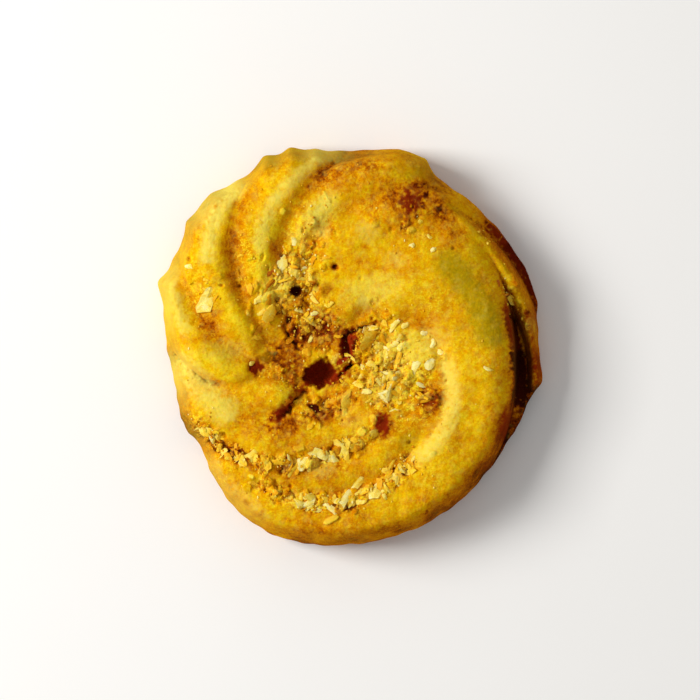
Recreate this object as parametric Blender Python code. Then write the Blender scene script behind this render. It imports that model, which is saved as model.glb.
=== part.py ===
# Coconut ring biscuit: ropes of dough laid in a left-hand swirl round one small pit,
# baked into a single piece, with coconut flakes stuck in the grooves.
# Lengths below are in millimetres; the finished mesh is in metres. +Z is up and the
# baked base lies on z = 0. Angles are in degrees, counter-clockwise from +X, about
# the pole of the swirl, which lies a little left of and below the middle.

import math

import bmesh
import bpy
import numpy as np

# ------------------------------------------------------------------ driving sizes
MM = 0.001

# The swirl in millimetres, angles in degrees counter-clockwise from +X about its pole.
SWIRL = {
    "pole": (-3.68, -2.73),
    "outline_mean": 28.32,
    "outline_cos": (3.85, -0.89, 0.51, -0.24, -0.02, 0.06),
    "outline_sin": (2.34, -0.07, 0.88, -0.28, 0.17, 0.05),
    "edge_teeth": (  # angle, height, tail (its sign is the side it runs to)
        (64.4, 2.2, 30.0), (106.4, 1.85, -3.4), (134.1, 1.35, -30.0), (153.8, 1.55, -3.4), (92.8, 0.7, -3.4),
        (199.9, 0.9, -15.0), (355.4, 1.7, 5.0), (99.5, 1.6, -3.4), (206.4, 1.1, -15.0),
        (71.5, 0.75, 3.4), (123.8, 0.75, -4.0), (16.5, 0.5, 3.0), (24.5, 0.5, 3.0), (343.8, 0.4, -3.0),
    ),
    "tooth_tip": 1.4,  # rounding of a tooth, in degrees
    "dome_tip": 10.0,  # the same where the outline only shapes the dome
    "tooth_front": 2.6,
    "edge_waves": ((23, 0.05, 0.4), (37, 0.05, 1.9), (61, 0.04, 4.0)),  # waves round, size, shift
    "foot_height": 3.4,  # the widest line of the side, above the table
    "foot_tuck": 2.3,  # how far the side draws in below it
    "dome_low": 3.0,
    "dome_rise": 7.4,
    "dome_run": 10.0,
    "middle_sink": 1.8,
    "middle_reach": 8.0,
    "ledge_depth": 5.0,  # the dough stands back here over the low rim
    "ledge_angle": 4.0,
    "ledge_spread": 50.0,
    "shoulder": 3.0,  # rounding of the upper edge
    "line_softness": 1.0,
    "blend": 0.30,  # softness of the valleys between ropes
}

# Ropes: start and end angle, radii, crests over the dome, half widths on the left of the
# way and on its right, depth of the back, power of its rounding, slope beyond its width.
ROPES = {
    "broad_sweep": (
        214, 440, (19.4, 21.2, 22.4, 22.8, 22.4, 20.6, 9.6), (-0.2, 1.2, 2.0, 2.5, 2.7, 2.5, 0.8),
        (3.0, 3.4, 4.2, 4.9, 5.2, 8.2, 5.0), (4.6, 5.0, 5.7, 6.1, 6.0, 9.4, 5.0), 3.2, 3.6, 9.0,
    ),
    "inner_sweep": (
        208, 344, (20.6, 17.6, 16.2, 15.6), (0.4, 1.1, -1.6),
        (2.8, 3.0, 2.6), (2.8, 3.0, 2.6), 1.5, 2.0, 5.0,
    ),
    "inner_ring": (
        168, 352, (25.6, 13.4, 11.2, 10.8), (1.0, 1.4, -1.2),
        (4.4, 3.4, 3.0), (4.4, 3.8, 3.0), 1.9, 2.0, 5.0,
    ),
    "knob": (
        190, 216, (15.4, 11.6, 7.6), (0.2, 1.2, 1.8),
        (3.2, 2.8, 2.2), (3.0, 2.8, 2.2), 1.5, 2.0, 5.0,
    ),
    "left_flap": (
        138, 188, (29.0, 26.1, 22.4, 18.4, 13.0), (1.2, 2.3, 1.6),
        (4.2, 4.0, 3.2), (2.6, 2.8, 2.0), 1.9, 2.0, 5.0,
    ),
    "fan_left": (
        110, 166, (30.6, 27.0, 22.2, 15.2, 11.0), (1.8, 3.1, 0.4),
        (2.8, 2.9, 2.3), (5.2, 4.6, 2.8), 2.2, 2.0, 5.0,
    ),
    "fan_middle": (
        78, 148, (35.6, 29.6, 22.9, 15.4, 9.0), (1.8, 2.8, 0.0),
        (4.2, 3.4, 2.2), (5.0, 5.0, 3.2), 2.1, 2.0, 5.0,
    ),
    "fan_right": (
        48, 110, (36.6, 31.8, 27.8, 23.4, 15.2), (0.2, 2.5, 2.4, 0.2),
        (3.6, 3.8, 3.0), (3.4, 3.4, 3.0), 1.6, 2.0, 5.0,
    ),
    "fan_short": (
        44, 96, (28.8, 25.6, 19.4, 12.2), (-0.8, 2.5, 2.2, 0.6),
        (4.2, 4.0, 2.8), (3.6, 3.6, 2.8), 1.2, 2.0, 5.0,
    ),
}
# Low ropes of the rim: the same, with crest heights over the base.
RIM_ROPES = {
    "rim_rope": (
        -7, 54, (31.8, 31.2, 29.8, 28.8), (6.6, 9.2, 10.8),
        (1.0, 1.7, 4.8), (1.3, 1.3, 1.8), 2.0, 2.0, 8.0,
    ),
    "rim_layer": (
        34, 72, (32.2, 32.4, 32.2, 31.4), (4.6, 8.4, 9.0),
        (1.2, 2.4, 2.8), (1.4, 2.0, 2.4), 1.8, 2.0, 5.0,
    ),
    "rim_heel": (
        322, 362, (27.8, 28.0, 28.8, 29.6), (3.4, 3.6, 3.2),
        (1.6, 2.0, 1.6), (1.6, 2.0, 1.6), 2.2, 2.0, 5.0,
    ),
}
# Cracks: x and y along the line, depth, half width.
CRACKS = {
    "long_crack": ((-12.2, -9.9, -7.5, -5.2), (-10.9, -9.6, -7.9, -6.2), 1.9, 0.6),
    "side_crack": ((-2.9, -1.1, 0.4, 2.5, 4.9), (-4.7, -4.1, -2.9, -1.9, -1.3), 1.3, 0.5),
    "tip_crevice": ((-1.2, 0.4, 2.3, 5.6), (1.3, 2.4, 3.1, 3.6), 2.2, 0.6),
    "crumb_split": ((-9.8, -9.5, -8.8, -7.4), (5.8, 3.2, 1.0, -0.8), 1.1, 0.6),
}
# Hollows: x, y, half length, half width, turn, floor height, steepness of the wall.
HOLLOWS = {
    "pit": (-4.2, -4.0, 2.7, 2.0, 14.0, 4.2, 4.4),
    "pit_shelf": (-2.6, -4.9, 1.4, 1.0, 10.0, 6.4, 3.0),
    "pocket": (-14.9, -3.2, 0.8, 0.7, 0.0, 9.8, 2.4),
    "under_tip": (-0.7, 0.4, 1.2, 1.9, -8.0, 5.8, 3.4),
    "crumb_gap": (-0.1, -3.2, 0.7, 1.0, -20.0, 7.4, 2.6),
}
# Slow waves that make cracks and hollows uneven: waves in x, waves in y, shift, size.
WOBBLE = ((0.9, 1.3, 0.3, 0.22), (1.9, -1.0, 1.9, 0.14), (-1.5, 2.6, 4.1, 0.10), (4.0, 3.0, 0.7, 0.06))


# Mesh of the body.
COLUMNS = 114
TOP_ROWS = 32
SIDE_ROWS = 4
BASE_ROWS = 2
FINE_STEPS = 260

# Coconut flakes that stand out: x, y, length, width, turn.
BIG_FLAKES = (
    (-21.4, 7.0, 3.6, 2.1, 75), (-10.1, 12.7, 3.1, 1.6, 85), (-10.9, 8.0, 3.6, 1.2, -10),
    (-11.9, 4.9, 2.7, 1.8, 60), (-21.5, -12.7, 1.9, 1.8, 10), (-14.9, -16.6, 3.8, 1.8, 35),
    (-12.4, -17.2, 2.5, 1.3, -62), (-7.1, -17.5, 2.2, 1.8, 80), (-4.7, -15.8, 3.3, 1.5, -20),
    (-2.9, -16.9, 2.5, 1.5, -30), (-1.0, -15.7, 4.5, 1.6, -62), (1.0, -14.9, 1.9, 1.5, 20),
    (-5.6, -22.9, 2.2, 1.5, -60), (-2.8, -24.1, 3.6, 1.2, -40), (-0.4, -22.3, 3.3, 1.2, 55),
    (1.3, -20.3, 2.9, 1.3, 50), (3.8, -21.4, 2.5, 1.9, 70), (6.4, -19.3, 1.9, 1.3, 30),
    (0.7, -0.5, 4.2, 1.2, 80), (2.8, 0.8, 2.9, 2.2, 70), (9.7, -2.8, 4.2, 1.6, 72),
    (12.2, -2.6, 2.1, 1.6, 30), (5.9, -6.8, 2.5, 0.9, 75), (-0.5, -8.5, 2.2, 1.8, 50),
    (24.1, 7.3, 2.2, 0.9, -62), (-4.7, -9.8, 1.9, 0.9, 20),
)
FLAKE_THICKNESS = 0.62
# Strips where smaller flakes gather: start and end angle, radii, spread, how many.
FLAKE_BELTS = (
    (208, 296, (20.6, 17.4, 13.9, 12.6), 0.9, 9),
    (246, 306, (20.3, 20.8, 20.4, 19.3), 0.9, 8),
    (-38, 42, (12.4, 12.6, 12.0, 10.6), 3.4, 9),
    (96, 160, (13.8, 14.4, 14.0, 9.0), 2.2, 7),
)
FLAKE_SEED = 417


# ------------------------------------------------------------------ plain formulas
def along(values, share):
    # The one smooth curve through evenly spaced values: each value times a weight that is
    # one at its own place and nought at all the others.
    values = np.asarray(values, dtype=float)
    places = np.linspace(0.0, 1.0, len(values))
    total = np.zeros_like(share, dtype=float)
    for i, value in enumerate(values):
        weight = np.ones_like(share, dtype=float)
        for j, place in enumerate(places):
            if j != i:
                weight = weight * (share - place) / (places[i] - place)
        total = total + value * weight
    return total


def wrap_angle(angle):
    # The same angle brought between -180 and 180.
    return (angle + 180.0) % 360.0 - 180.0


def rise(value, low, high):
    # Nought below low, one above high, and three squares less two cubes in between.
    part = np.clip((value - low) / (high - low), 0.0, 1.0)
    return part * part * (3.0 - 2.0 * part)


def outline_radius(angle, tip=SWIRL["tooth_tip"], unevenness=1.0):
    # The mean radius, plus a cosine and a sine for each number of waves, plus a rounded
    # tooth for each rope's end that falls away steeply on one side and slowly on the
    # other, plus a little fine unevenness.
    turn = np.radians(angle)
    radius = np.full_like(turn, SWIRL["outline_mean"])
    for wave, (c, s) in enumerate(zip(SWIRL["outline_cos"], SWIRL["outline_sin"]), start=1):
        radius = radius + c * np.cos(wave * turn) + s * np.sin(wave * turn)
    for centre, height, tail in SWIRL["edge_teeth"]:
        gap = wrap_angle(angle - centre) * (1.0 if tail > 0 else -1.0)
        run = np.where(gap > 0, abs(tail), SWIRL["tooth_front"])
        radius = radius + height * np.exp((tip - np.sqrt(gap**2 + tip**2)) / run)
    for waves, size, shift in SWIRL["edge_waves"]:
        radius = radius + unevenness * size * np.sin(waves * turn + shift)
    return radius


def dome_height(radius, angle):
    # A rounded rise inwards from the edge, less a bell-shaped sink in the middle.
    aside = wrap_angle(angle - SWIRL["ledge_angle"]) / SWIRL["ledge_spread"]
    ledge = np.clip(1.0 - np.abs(aside) ** 4, 0.0, 1.0) ** 2
    reach = outline_radius(angle, SWIRL["dome_tip"], 0.0) - SWIRL["ledge_depth"] * ledge
    inset = np.clip((reach - radius) / SWIRL["dome_run"], 0.0, 1.0)
    sink = SWIRL["middle_sink"] * np.exp(-((radius / SWIRL["middle_reach"]) ** 2))
    return SWIRL["dome_low"] + SWIRL["dome_rise"] * np.sqrt(1.0 - (1.0 - inset) ** 2.4) - sink


def nearest_on_line(x, y, line_x, line_y):
    # For each point, the least distance to any straight step of the line, and how far
    # along the line that place is, from nought to one.
    best = np.full(x.shape, 1e9)
    share = np.zeros(x.shape)
    count = len(line_x) - 1
    for i in range(count):
        step_x, step_y = line_x[i + 1] - line_x[i], line_y[i + 1] - line_y[i]
        part = ((x - line_x[i]) * step_x + (y - line_y[i]) * step_y) / (step_x**2 + step_y**2)
        part = np.clip(part, 0.0, 1.0)
        away = (x - line_x[i] - part * step_x) ** 2 + (y - line_y[i] - part * step_y) ** 2
        closer = away < best
        best = np.where(closer, away, best)
        share = np.where(closer, (i + part) / count, share)
    return np.sqrt(best), share


def beside_line(x, y, line_x, line_y):
    # Every place of the line is weighted by a bell of its distance. The logarithm of the
    # sum of weights gives the distance to the line without creases; the weighted means
    # give the share of the way along it and how far to the left of it the point lies.
    spread = SWIRL["line_softness"]
    step_x, step_y = np.gradient(line_x), np.gradient(line_y)
    length = np.hypot(step_x, step_y)
    total, way_total, left_total = np.zeros_like(x), np.zeros_like(x), np.zeros_like(x)
    for i in range(len(line_x)):
        away_x, away_y = x - line_x[i], y - line_y[i]
        weight = length[i] * np.exp(-(away_x**2 + away_y**2) / (2.0 * spread**2))
        total += weight
        way_total += weight * (i / (len(line_x) - 1.0))
        left_total += weight * (step_x[i] * away_y - step_y[i] * away_x) / length[i]
    away = np.sqrt(np.maximum(-2.0 * spread**2 * np.log(total / (spread * math.sqrt(2.0 * math.pi))), 0.0))
    return away, way_total / total, left_total / total


def rope_line(rope):
    # The angle runs evenly from start to end and the radius follows its named values.
    share = np.linspace(0.0, 1.0, 73)
    angle = rope[0] + (rope[1] - rope[0]) * share
    radius = along(rope[2], share)
    x = SWIRL["pole"][0] + radius * np.cos(np.radians(angle))
    y = SWIRL["pole"][1] + radius * np.sin(np.radians(angle))
    return share, angle, radius, x, y


def rope_height(x, y, rope, over_dome):
    # The crest height, less the depth times a power of the distance in half widths, less
    # a steep straight fall beside the rope.
    share, angle, radius, line_x, line_y = rope_line(rope)
    crest = along(rope[3], share)
    if over_dome:
        crest = crest + dome_height(radius, angle)
    reach = max(rope[4] + rope[5]) + 4.0
    far = np.hypot(x - SWIRL["pole"][0], y - SWIRL["pole"][1])
    turn = np.degrees(np.arctan2(y - SWIRL["pole"][1], x - SWIRL["pole"][0]))
    middle = 0.5 * (rope[0] + rope[1])
    close = (far > radius.min() - reach) & (far < radius.max() + reach)
    close &= np.abs(wrap_angle(turn - middle)) < 0.5 * (rope[1] - rope[0]) + 45.0
    height = np.full(x.shape, -60.0)
    away, at, left = beside_line(x[close], y[close], line_x, line_y)
    left_share = 0.5 + 0.5 * np.tanh(left / 0.8)
    half = left_share * along(rope[4], at) + (1.0 - left_share) * along(rope[5], at)
    fall = rope[6] * np.minimum(away / half, 1.0) ** rope[7] + rope[8] * np.maximum(away - half, 0.0)
    height[close] = np.interp(at, share, crest) - fall
    return height


def soft_max(first, second, blend):
    # The greater of two heights, joined by the logarithm of the sum of their exponentials.
    return blend * np.logaddexp(first / blend, second / blend)


def hollow_height(x, y, hollow):
    # The floor, plus a wall that grows with the cube of the distance in half widths.
    centre_x, centre_y, half_long, half_wide, turn, floor, steep = hollow
    c, s = math.cos(math.radians(turn)), math.sin(math.radians(turn))
    u = ((x - centre_x) * c + (y - centre_y) * s) / half_long
    v = (-(x - centre_x) * s + (y - centre_y) * c) / half_wide
    return floor + steep * np.clip((u**2 + v**2) ** 1.5, 0.0, 20.0)


def wobbled(x, y):
    # The point moved by a few slow sine waves.
    move_x = sum(size * np.sin(a * x + b * y + c) for a, b, c, size in WOBBLE)
    move_y = sum(size * np.cos(b * x - a * y + 1.7 * c) for a, b, c, size in WOBBLE)
    return x + move_x, y + move_y


def crack_depth(x, y, crack):
    # A bell across the line, of uneven width and depth, drawn in to nothing at both ends.
    way = np.linspace(0.0, 1.0, 25)
    away, at = nearest_on_line(x, y, along(crack[0], way), along(crack[1], way))
    ends = np.clip(5.0 * at, 0.0, 1.0) * np.clip(5.0 * (1.0 - at), 0.0, 1.0)
    uneven = 0.75 + 0.25 * np.sin(3.1 * x + 1.0) * np.cos(2.3 * y)
    return ends * uneven * crack[2] * np.exp(-((away / (crack[3] * (0.7 + 0.6 * uneven))) ** 2))


def dough_height(x, y):
    # The greatest of dome and ropes, rounded down at the edge as a quarter circle, cut by
    # the hollows, less the cracks.
    angle = np.degrees(np.arctan2(y - SWIRL["pole"][1], x - SWIRL["pole"][0]))
    radius = np.hypot(x - SWIRL["pole"][0], y - SWIRL["pole"][1])
    height = dome_height(radius, angle)
    for rope in ROPES.values():
        height = soft_max(height, rope_height(x, y, rope, True), SWIRL["blend"])
    for rope in RIM_ROPES.values():
        height = soft_max(height, rope_height(x, y, rope, False), SWIRL["blend"])
    inset = np.clip((radius - outline_radius(angle) + SWIRL["shoulder"]) / SWIRL["shoulder"], 0.0, 1.0)
    foot = SWIRL["foot_height"]
    height = foot + (height - foot) * np.sqrt(np.clip(1.0 - inset**2, 0.0, 1.0))
    uneven_x, uneven_y = wobbled(x, y)
    for hollow in HOLLOWS.values():
        height = -soft_max(-height, -hollow_height(uneven_x, uneven_y, hollow), 0.2)
    for crack in CRACKS.values():
        height = height - crack_depth(uneven_x, uneven_y, crack)
    return np.maximum(height, foot * 0.9)


# ------------------------------------------------------------------ body of dough
def even_rows(radius, height, count):
    # spreads points evenly by their way over the surface, column by column
    step = np.hypot(np.diff(radius, axis=1), np.diff(height, axis=1))
    step = 0.35 * np.diff(radius, axis=1) + 0.65 * step
    way = np.concatenate([np.zeros((len(radius), 1)), np.cumsum(step, axis=1)], axis=1)
    new_radius = np.zeros((len(radius), count))
    new_height = np.zeros((len(radius), count))
    for i in range(len(radius)):
        goal = np.linspace(0.0, way[i, -1], count + 1)[1:]
        new_radius[i] = np.interp(goal, way[i], radius[i])
        new_height[i] = np.interp(goal, way[i], height[i])
    return new_radius, new_height


def body_points():
    # rings of points: over the top from the pole to the edge, round the foot, under the base
    pole_x, pole_y = SWIRL["pole"]
    angle = np.linspace(0.0, 360.0, COLUMNS, endpoint=False)
    edge = outline_radius(angle)[:, None]
    share = np.linspace(0.0, 1.0, FINE_STEPS)[None, :]
    share = 1.0 - (1.0 - share) ** 1.25
    radius = edge * share
    turn = np.radians(angle)[:, None]
    height = dough_height(pole_x + radius * np.cos(turn), pole_y + radius * np.sin(turn))
    height[:, 0] = height[:, 0].mean()
    top_radius, top_z = even_rows(radius, height, TOP_ROWS)
    drop = np.radians(np.linspace(0.0, 90.0, SIDE_ROWS + 1)[1:])[None, :]
    side_radius = edge - SWIRL["foot_tuck"] * (1.0 - np.cos(drop))
    side_z = SWIRL["foot_height"] * (1.0 - np.sin(drop)) + 0.0 * edge
    inward = np.linspace(1.0, 0.0, BASE_ROWS + 2)[1:-1][None, :]
    base_radius = (edge - SWIRL["foot_tuck"]) * inward
    base_z = np.zeros_like(base_radius)
    all_radius = np.concatenate([top_radius, side_radius, base_radius], axis=1)
    all_z = np.concatenate([top_z, side_z, base_z], axis=1)
    x = pole_x + all_radius * np.cos(turn)
    y = pole_y + all_radius * np.sin(turn)
    rings = np.stack([x, y, all_z], axis=2)
    pole_top = np.array([[pole_x, pole_y, height[0, 0]]])
    pole_base = np.array([[pole_x, pole_y, 0.0]])
    return rings, pole_top, pole_base


def body_faces(columns, rows):
    # quads between neighbouring rings, fans of triangles at both poles
    faces = []
    top = columns * rows
    base = top + 1
    for i in range(columns):
        k = (i + 1) % columns
        faces.append((top, i * rows, k * rows))
        faces.append((base, k * rows + rows - 1, i * rows + rows - 1))
        for j in range(rows - 1):
            faces.append((i * rows + j, i * rows + j + 1, k * rows + j + 1, k * rows + j))
    return faces


# ------------------------------------------------------------------ coconut flakes
def flake_mesh(rng, length, width, thick):
    # one shred: a four-sided bar with drawn-in ends, bent a little, with uneven corners
    stations = np.array([-0.5, 0.05, 0.5])
    girth = np.array([0.75, 1.2, 0.65]) * rng.uniform(0.85, 1.15, 3)
    points = []
    for station, size in zip(stations, girth):
        for corner in range(4):
            around = 2.0 * math.pi * (corner + 0.5) / 4.0
            y = 0.5 * width * size * math.cos(around) * rng.uniform(0.85, 1.15)
            z = 0.5 * thick * size * math.sin(around) * rng.uniform(0.85, 1.15)
            x = length * station + rng.uniform(-0.04, 0.04) * length
            points.append((x, y, z - 0.35 * thick * (2.0 * station) ** 2))
    faces = [(3, 2, 1, 0), (8, 9, 10, 11)]
    for ring in range(2):
        for corner in range(4):
            k = (corner + 1) % 4
            a = ring * 4
            faces.append((a + corner, a + k, a + 4 + k, a + 4 + corner))
    return np.array(points), faces


def flake_list():
    # where every flake lies: the named big ones, then draws along the belts
    pole_x, pole_y = SWIRL["pole"]
    rng = np.random.default_rng(FLAKE_SEED)
    flakes = []
    for x, y, length, width, turn in BIG_FLAKES:
        flakes.append((x, y, length, width, turn, FLAKE_THICKNESS * 1.15))
    for start, end, radii, spread, count in FLAKE_BELTS:
        for place in range(count):
            share = np.array([(place + rng.uniform(0.15, 0.85)) / count])
            angle = start + (end - start) * share[0]
            radius = along(radii, share)[0] + rng.uniform(-spread, spread)
            x = pole_x + radius * math.cos(math.radians(angle))
            y = pole_y + radius * math.sin(math.radians(angle))
            length = rng.uniform(1.5, 2.6)
            width = rng.uniform(0.8, 1.3)
            turn = rng.uniform(0.0, 180.0)
            flakes.append((x, y, length, width, turn, FLAKE_THICKNESS))
    return flakes


def lay_flake(rng, flake):
    # lays a shred on the dough: turned, tilted with the slope and sunk to half its height
    x, y, length, width, turn, thick = flake
    points, faces = flake_mesh(rng, length, width, thick)
    c = math.cos(math.radians(turn))
    s = math.sin(math.radians(turn))
    reach = 0.35 * length
    probe_x = np.array([x, x + reach * c, x - reach * c, x - 0.5 * s, x + 0.5 * s])
    probe_y = np.array([y, y + reach * s, y - reach * s, y + 0.5 * c, y - 0.5 * c])
    ground = dough_height(probe_x, probe_y)
    pitch = np.clip((ground[1] - ground[2]) / (2.0 * reach), -0.7, 0.7) + rng.uniform(-0.15, 0.15)
    roll = np.clip(ground[3] - ground[4], -0.7, 0.7) + rng.uniform(-0.15, 0.15)
    local_x = points[:, 0]
    local_y = points[:, 1]
    height = max(ground[0], 0.5 * (ground[1] + ground[2]) - 0.3)
    z = height + 0.12 * thick + points[:, 2] + pitch * local_x + roll * local_y
    world_x = x + c * local_x - s * local_y
    world_y = y + s * local_x + c * local_y
    return np.stack([world_x, world_y, z], axis=1), faces


# ------------------------------------------------------------------ objects
def plain_material(name, colour, roughness):
    material = bpy.data.materials.new(name)
    material.use_nodes = True
    shader = material.node_tree.nodes["Principled BSDF"]
    shader.inputs["Base Color"].default_value = colour
    shader.inputs["Roughness"].default_value = roughness
    shader.inputs["Metallic"].default_value = 0.0
    return material


def new_object(name, points, faces, collection):
    mesh = bpy.data.meshes.new(name)
    mesh.from_pydata((np.asarray(points) * MM).tolist(), [], faces)
    mesh.validate()
    thing = bpy.data.objects.new(name, mesh)
    collection.objects.link(thing)
    return thing


def keep_main_shell(mesh):
    # drops loose scraps and sealed hollows: only the shell with the most points stays
    work = bmesh.new()
    work.from_mesh(mesh)
    bmesh.ops.triangulate(work, faces=work.faces[:])
    bmesh.ops.dissolve_degenerate(work, dist=0.01 * MM, edges=work.edges[:])
    unseen = set(work.verts)
    shells = []
    while unseen:
        start = unseen.pop()
        shell = [start]
        for vert in shell:
            for edge in vert.link_edges:
                other = edge.other_vert(vert)
                if other in unseen:
                    unseen.remove(other)
                    shell.append(other)
        shells.append(shell)
    shells.sort(key=len, reverse=True)
    for shell in shells[1:]:
        bmesh.ops.delete(work, geom=shell, context="VERTS")
    bmesh.ops.triangulate(work, faces=work.faces[:])
    work.to_mesh(mesh)
    work.free()
    print("shells found:", len(shells))


def main():
    for old in list(bpy.data.objects):
        bpy.data.objects.remove(old, do_unlink=True)
    scene = bpy.context.scene
    dough = plain_material("baked_dough", (0.62, 0.37, 0.03, 1.0), 0.75)

    rings, pole_top, pole_base = body_points()
    columns, rows = rings.shape[:2]
    points = np.concatenate([rings.reshape(-1, 3), pole_top, pole_base])
    biscuit = new_object("biscuit", points, body_faces(columns, rows), scene.collection)
    biscuit.data.materials.append(dough)

    extras = bpy.data.collections.new("flakes")
    scene.collection.children.link(extras)
    rng = np.random.default_rng(FLAKE_SEED + 1)
    for number, flake in enumerate(flake_list()):
        flake_points, flake_faces = lay_flake(rng, flake)
        shred = new_object("flake_%03d" % number, flake_points, flake_faces, extras)
        shred.data.materials.append(dough)

    join = biscuit.modifiers.new("join", "BOOLEAN")
    join.operation = "UNION"
    join.operand_type = "COLLECTION"
    join.collection = extras
    join.solver = "MANIFOLD"
    bpy.context.view_layer.update()
    joined = bpy.data.meshes.new_from_object(biscuit.evaluated_get(bpy.context.evaluated_depsgraph_get()))
    biscuit.modifiers.clear()
    biscuit.data = joined
    biscuit.data.name = "biscuit"
    keep_main_shell(biscuit.data)
    for shred in list(extras.objects):
        bpy.data.objects.remove(shred, do_unlink=True)
    bpy.data.collections.remove(extras)
    for polygon in biscuit.data.polygons:
        polygon.use_smooth = True
    triangles = sum(len(polygon.vertices) - 2 for polygon in biscuit.data.polygons)
    print("biscuit triangles:", triangles)


main()
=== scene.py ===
import math
import time

import bpy
import numpy as np
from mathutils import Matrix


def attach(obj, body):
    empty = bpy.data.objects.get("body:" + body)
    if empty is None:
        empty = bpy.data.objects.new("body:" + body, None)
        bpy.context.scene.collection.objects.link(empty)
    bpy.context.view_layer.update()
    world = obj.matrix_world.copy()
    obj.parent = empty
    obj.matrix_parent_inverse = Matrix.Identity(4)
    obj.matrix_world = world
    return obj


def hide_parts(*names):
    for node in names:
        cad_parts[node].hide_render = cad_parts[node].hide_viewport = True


started = time.time()
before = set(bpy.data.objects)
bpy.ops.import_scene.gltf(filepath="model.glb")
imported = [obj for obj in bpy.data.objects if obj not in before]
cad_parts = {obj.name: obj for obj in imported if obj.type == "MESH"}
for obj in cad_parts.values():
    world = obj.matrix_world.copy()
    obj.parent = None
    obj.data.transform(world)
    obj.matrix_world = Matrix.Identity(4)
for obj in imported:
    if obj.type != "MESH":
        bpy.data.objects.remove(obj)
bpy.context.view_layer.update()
millimetre = 0.001


def report(words):
    print("coconut biscuit: %5.1f s  %s" % (time.time() - started, words))


report("solid loaded")

# The swirl in millimetres, angles in degrees counter-clockwise from +X about its pole.
swirl = {
    "pole": (-3.68, -2.73),
    "outlineMean": 28.32,
    "outlineCos": (3.85, -0.89, 0.51, -0.24, -0.02, 0.06),
    "outlineSin": (2.34, -0.07, 0.88, -0.28, 0.17, 0.05),
    "edgeTeeth": (  # angle, height, tail (its sign is the side it runs to)
        (64.4, 2.2, 30.0), (106.4, 1.85, -3.4), (134.1, 1.35, -30.0), (153.8, 1.55, -3.4), (92.8, 0.7, -3.4),
        (199.9, 0.9, -15.0), (355.4, 1.7, 5.0), (99.5, 1.6, -3.4), (206.4, 1.1, -15.0),
        (71.5, 0.75, 3.4), (123.8, 0.75, -4.0), (16.5, 0.5, 3.0), (24.5, 0.5, 3.0), (343.8, 0.4, -3.0),
    ),
    "toothTip": 1.4,  # rounding of a tooth, in degrees
    "domeTip": 10.0,  # the same where the outline only shapes the dome
    "toothFront": 2.6,
    "edgeWaves": ((23, 0.05, 0.4), (37, 0.05, 1.9), (61, 0.04, 4.0)),  # waves round, size, shift
    "footHeight": 3.4,  # the widest line of the side, above the table
    "footTuck": 2.3,  # how far the side draws in below it
    "domeLow": 3.0,
    "domeRise": 7.4,
    "domeRun": 10.0,
    "middleSink": 1.8,
    "middleReach": 8.0,
    "ledgeDepth": 5.0,  # the dough stands back here over the low rim
    "ledgeAngle": 4.0,
    "ledgeSpread": 50.0,
    "shoulder": 3.0,  # rounding of the upper edge
    "lineSoftness": 1.0,
    "blend": 0.30,  # softness of the valleys between ropes
}

# Ropes: start and end angle, radii, crests over the dome, half widths on the left of the
# way and on its right, depth of the back, power of its rounding, slope beyond its width.
ropes = {
    "broadSweep": (
        214, 440, (19.4, 21.2, 22.4, 22.8, 22.4, 20.6, 9.6), (-0.2, 1.2, 2.0, 2.5, 2.7, 2.5, 0.8),
        (3.0, 3.4, 4.2, 4.9, 5.2, 8.2, 5.0), (4.6, 5.0, 5.7, 6.1, 6.0, 9.4, 5.0), 3.2, 3.6, 9.0,
    ),
    "innerSweep": (
        208, 344, (20.6, 17.6, 16.2, 15.6), (0.4, 1.1, -1.6), (2.8, 3.0, 2.6), (2.8, 3.0, 2.6),
        1.5, 2.0, 5.0,
    ),
    "innerRing": (
        168, 352, (25.6, 13.4, 11.2, 10.8), (1.0, 1.4, -1.2), (4.4, 3.4, 3.0), (4.4, 3.8, 3.0),
        1.9, 2.0, 5.0,
    ),
    "knob": (190, 216, (15.4, 11.6, 7.6), (0.2, 1.2, 1.8), (3.2, 2.8, 2.2), (3.0, 2.8, 2.2), 1.5, 2.0, 5.0),
    "leftFlap": (
        138, 188, (29.0, 26.1, 22.4, 18.4, 13.0), (1.2, 2.3, 1.6), (4.2, 4.0, 3.2),
        (2.6, 2.8, 2.0), 1.9, 2.0, 5.0,
    ),
    "fanLeft": (
        110, 166, (30.6, 27.0, 22.2, 15.2, 11.0), (1.8, 3.1, 0.4), (2.8, 2.9, 2.3),
        (5.2, 4.6, 2.8), 2.2, 2.0, 5.0,
    ),
    "fanMiddle": (
        78, 148, (35.6, 29.6, 22.9, 15.4, 9.0), (1.8, 2.8, 0.0), (4.2, 3.4, 2.2),
        (5.0, 5.0, 3.2), 2.1, 2.0, 5.0,
    ),
    "fanRight": (
        48, 110, (36.6, 31.8, 27.8, 23.4, 15.2), (0.2, 2.5, 2.4, 0.2), (3.6, 3.8, 3.0),
        (3.4, 3.4, 3.0), 1.6, 2.0, 5.0,
    ),
    "fanShort": (
        44, 96, (28.8, 25.6, 19.4, 12.2), (-0.8, 2.5, 2.2, 0.6), (4.2, 4.0, 2.8),
        (3.6, 3.6, 2.8), 1.2, 2.0, 5.0,
    ),
}
# Low ropes of the rim: the same, with crest heights over the base.
rimRopes = {
    "rimRope": (
        -7, 54, (31.8, 31.2, 29.8, 28.8), (6.6, 9.2, 10.8), (1.0, 1.7, 4.8), (1.3, 1.3, 1.8),
        2.0, 2.0, 8.0,
    ),
    "rimLayer": (
        34, 72, (32.2, 32.4, 32.2, 31.4), (4.6, 8.4, 9.0), (1.2, 2.4, 2.8), (1.4, 2.0, 2.4),
        1.8, 2.0, 5.0,
    ),
    "rimHeel": (
        322, 362, (27.8, 28.0, 28.8, 29.6), (3.4, 3.6, 3.2), (1.6, 2.0, 1.6), (1.6, 2.0, 1.6),
        2.2, 2.0, 5.0,
    ),
}
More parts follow.
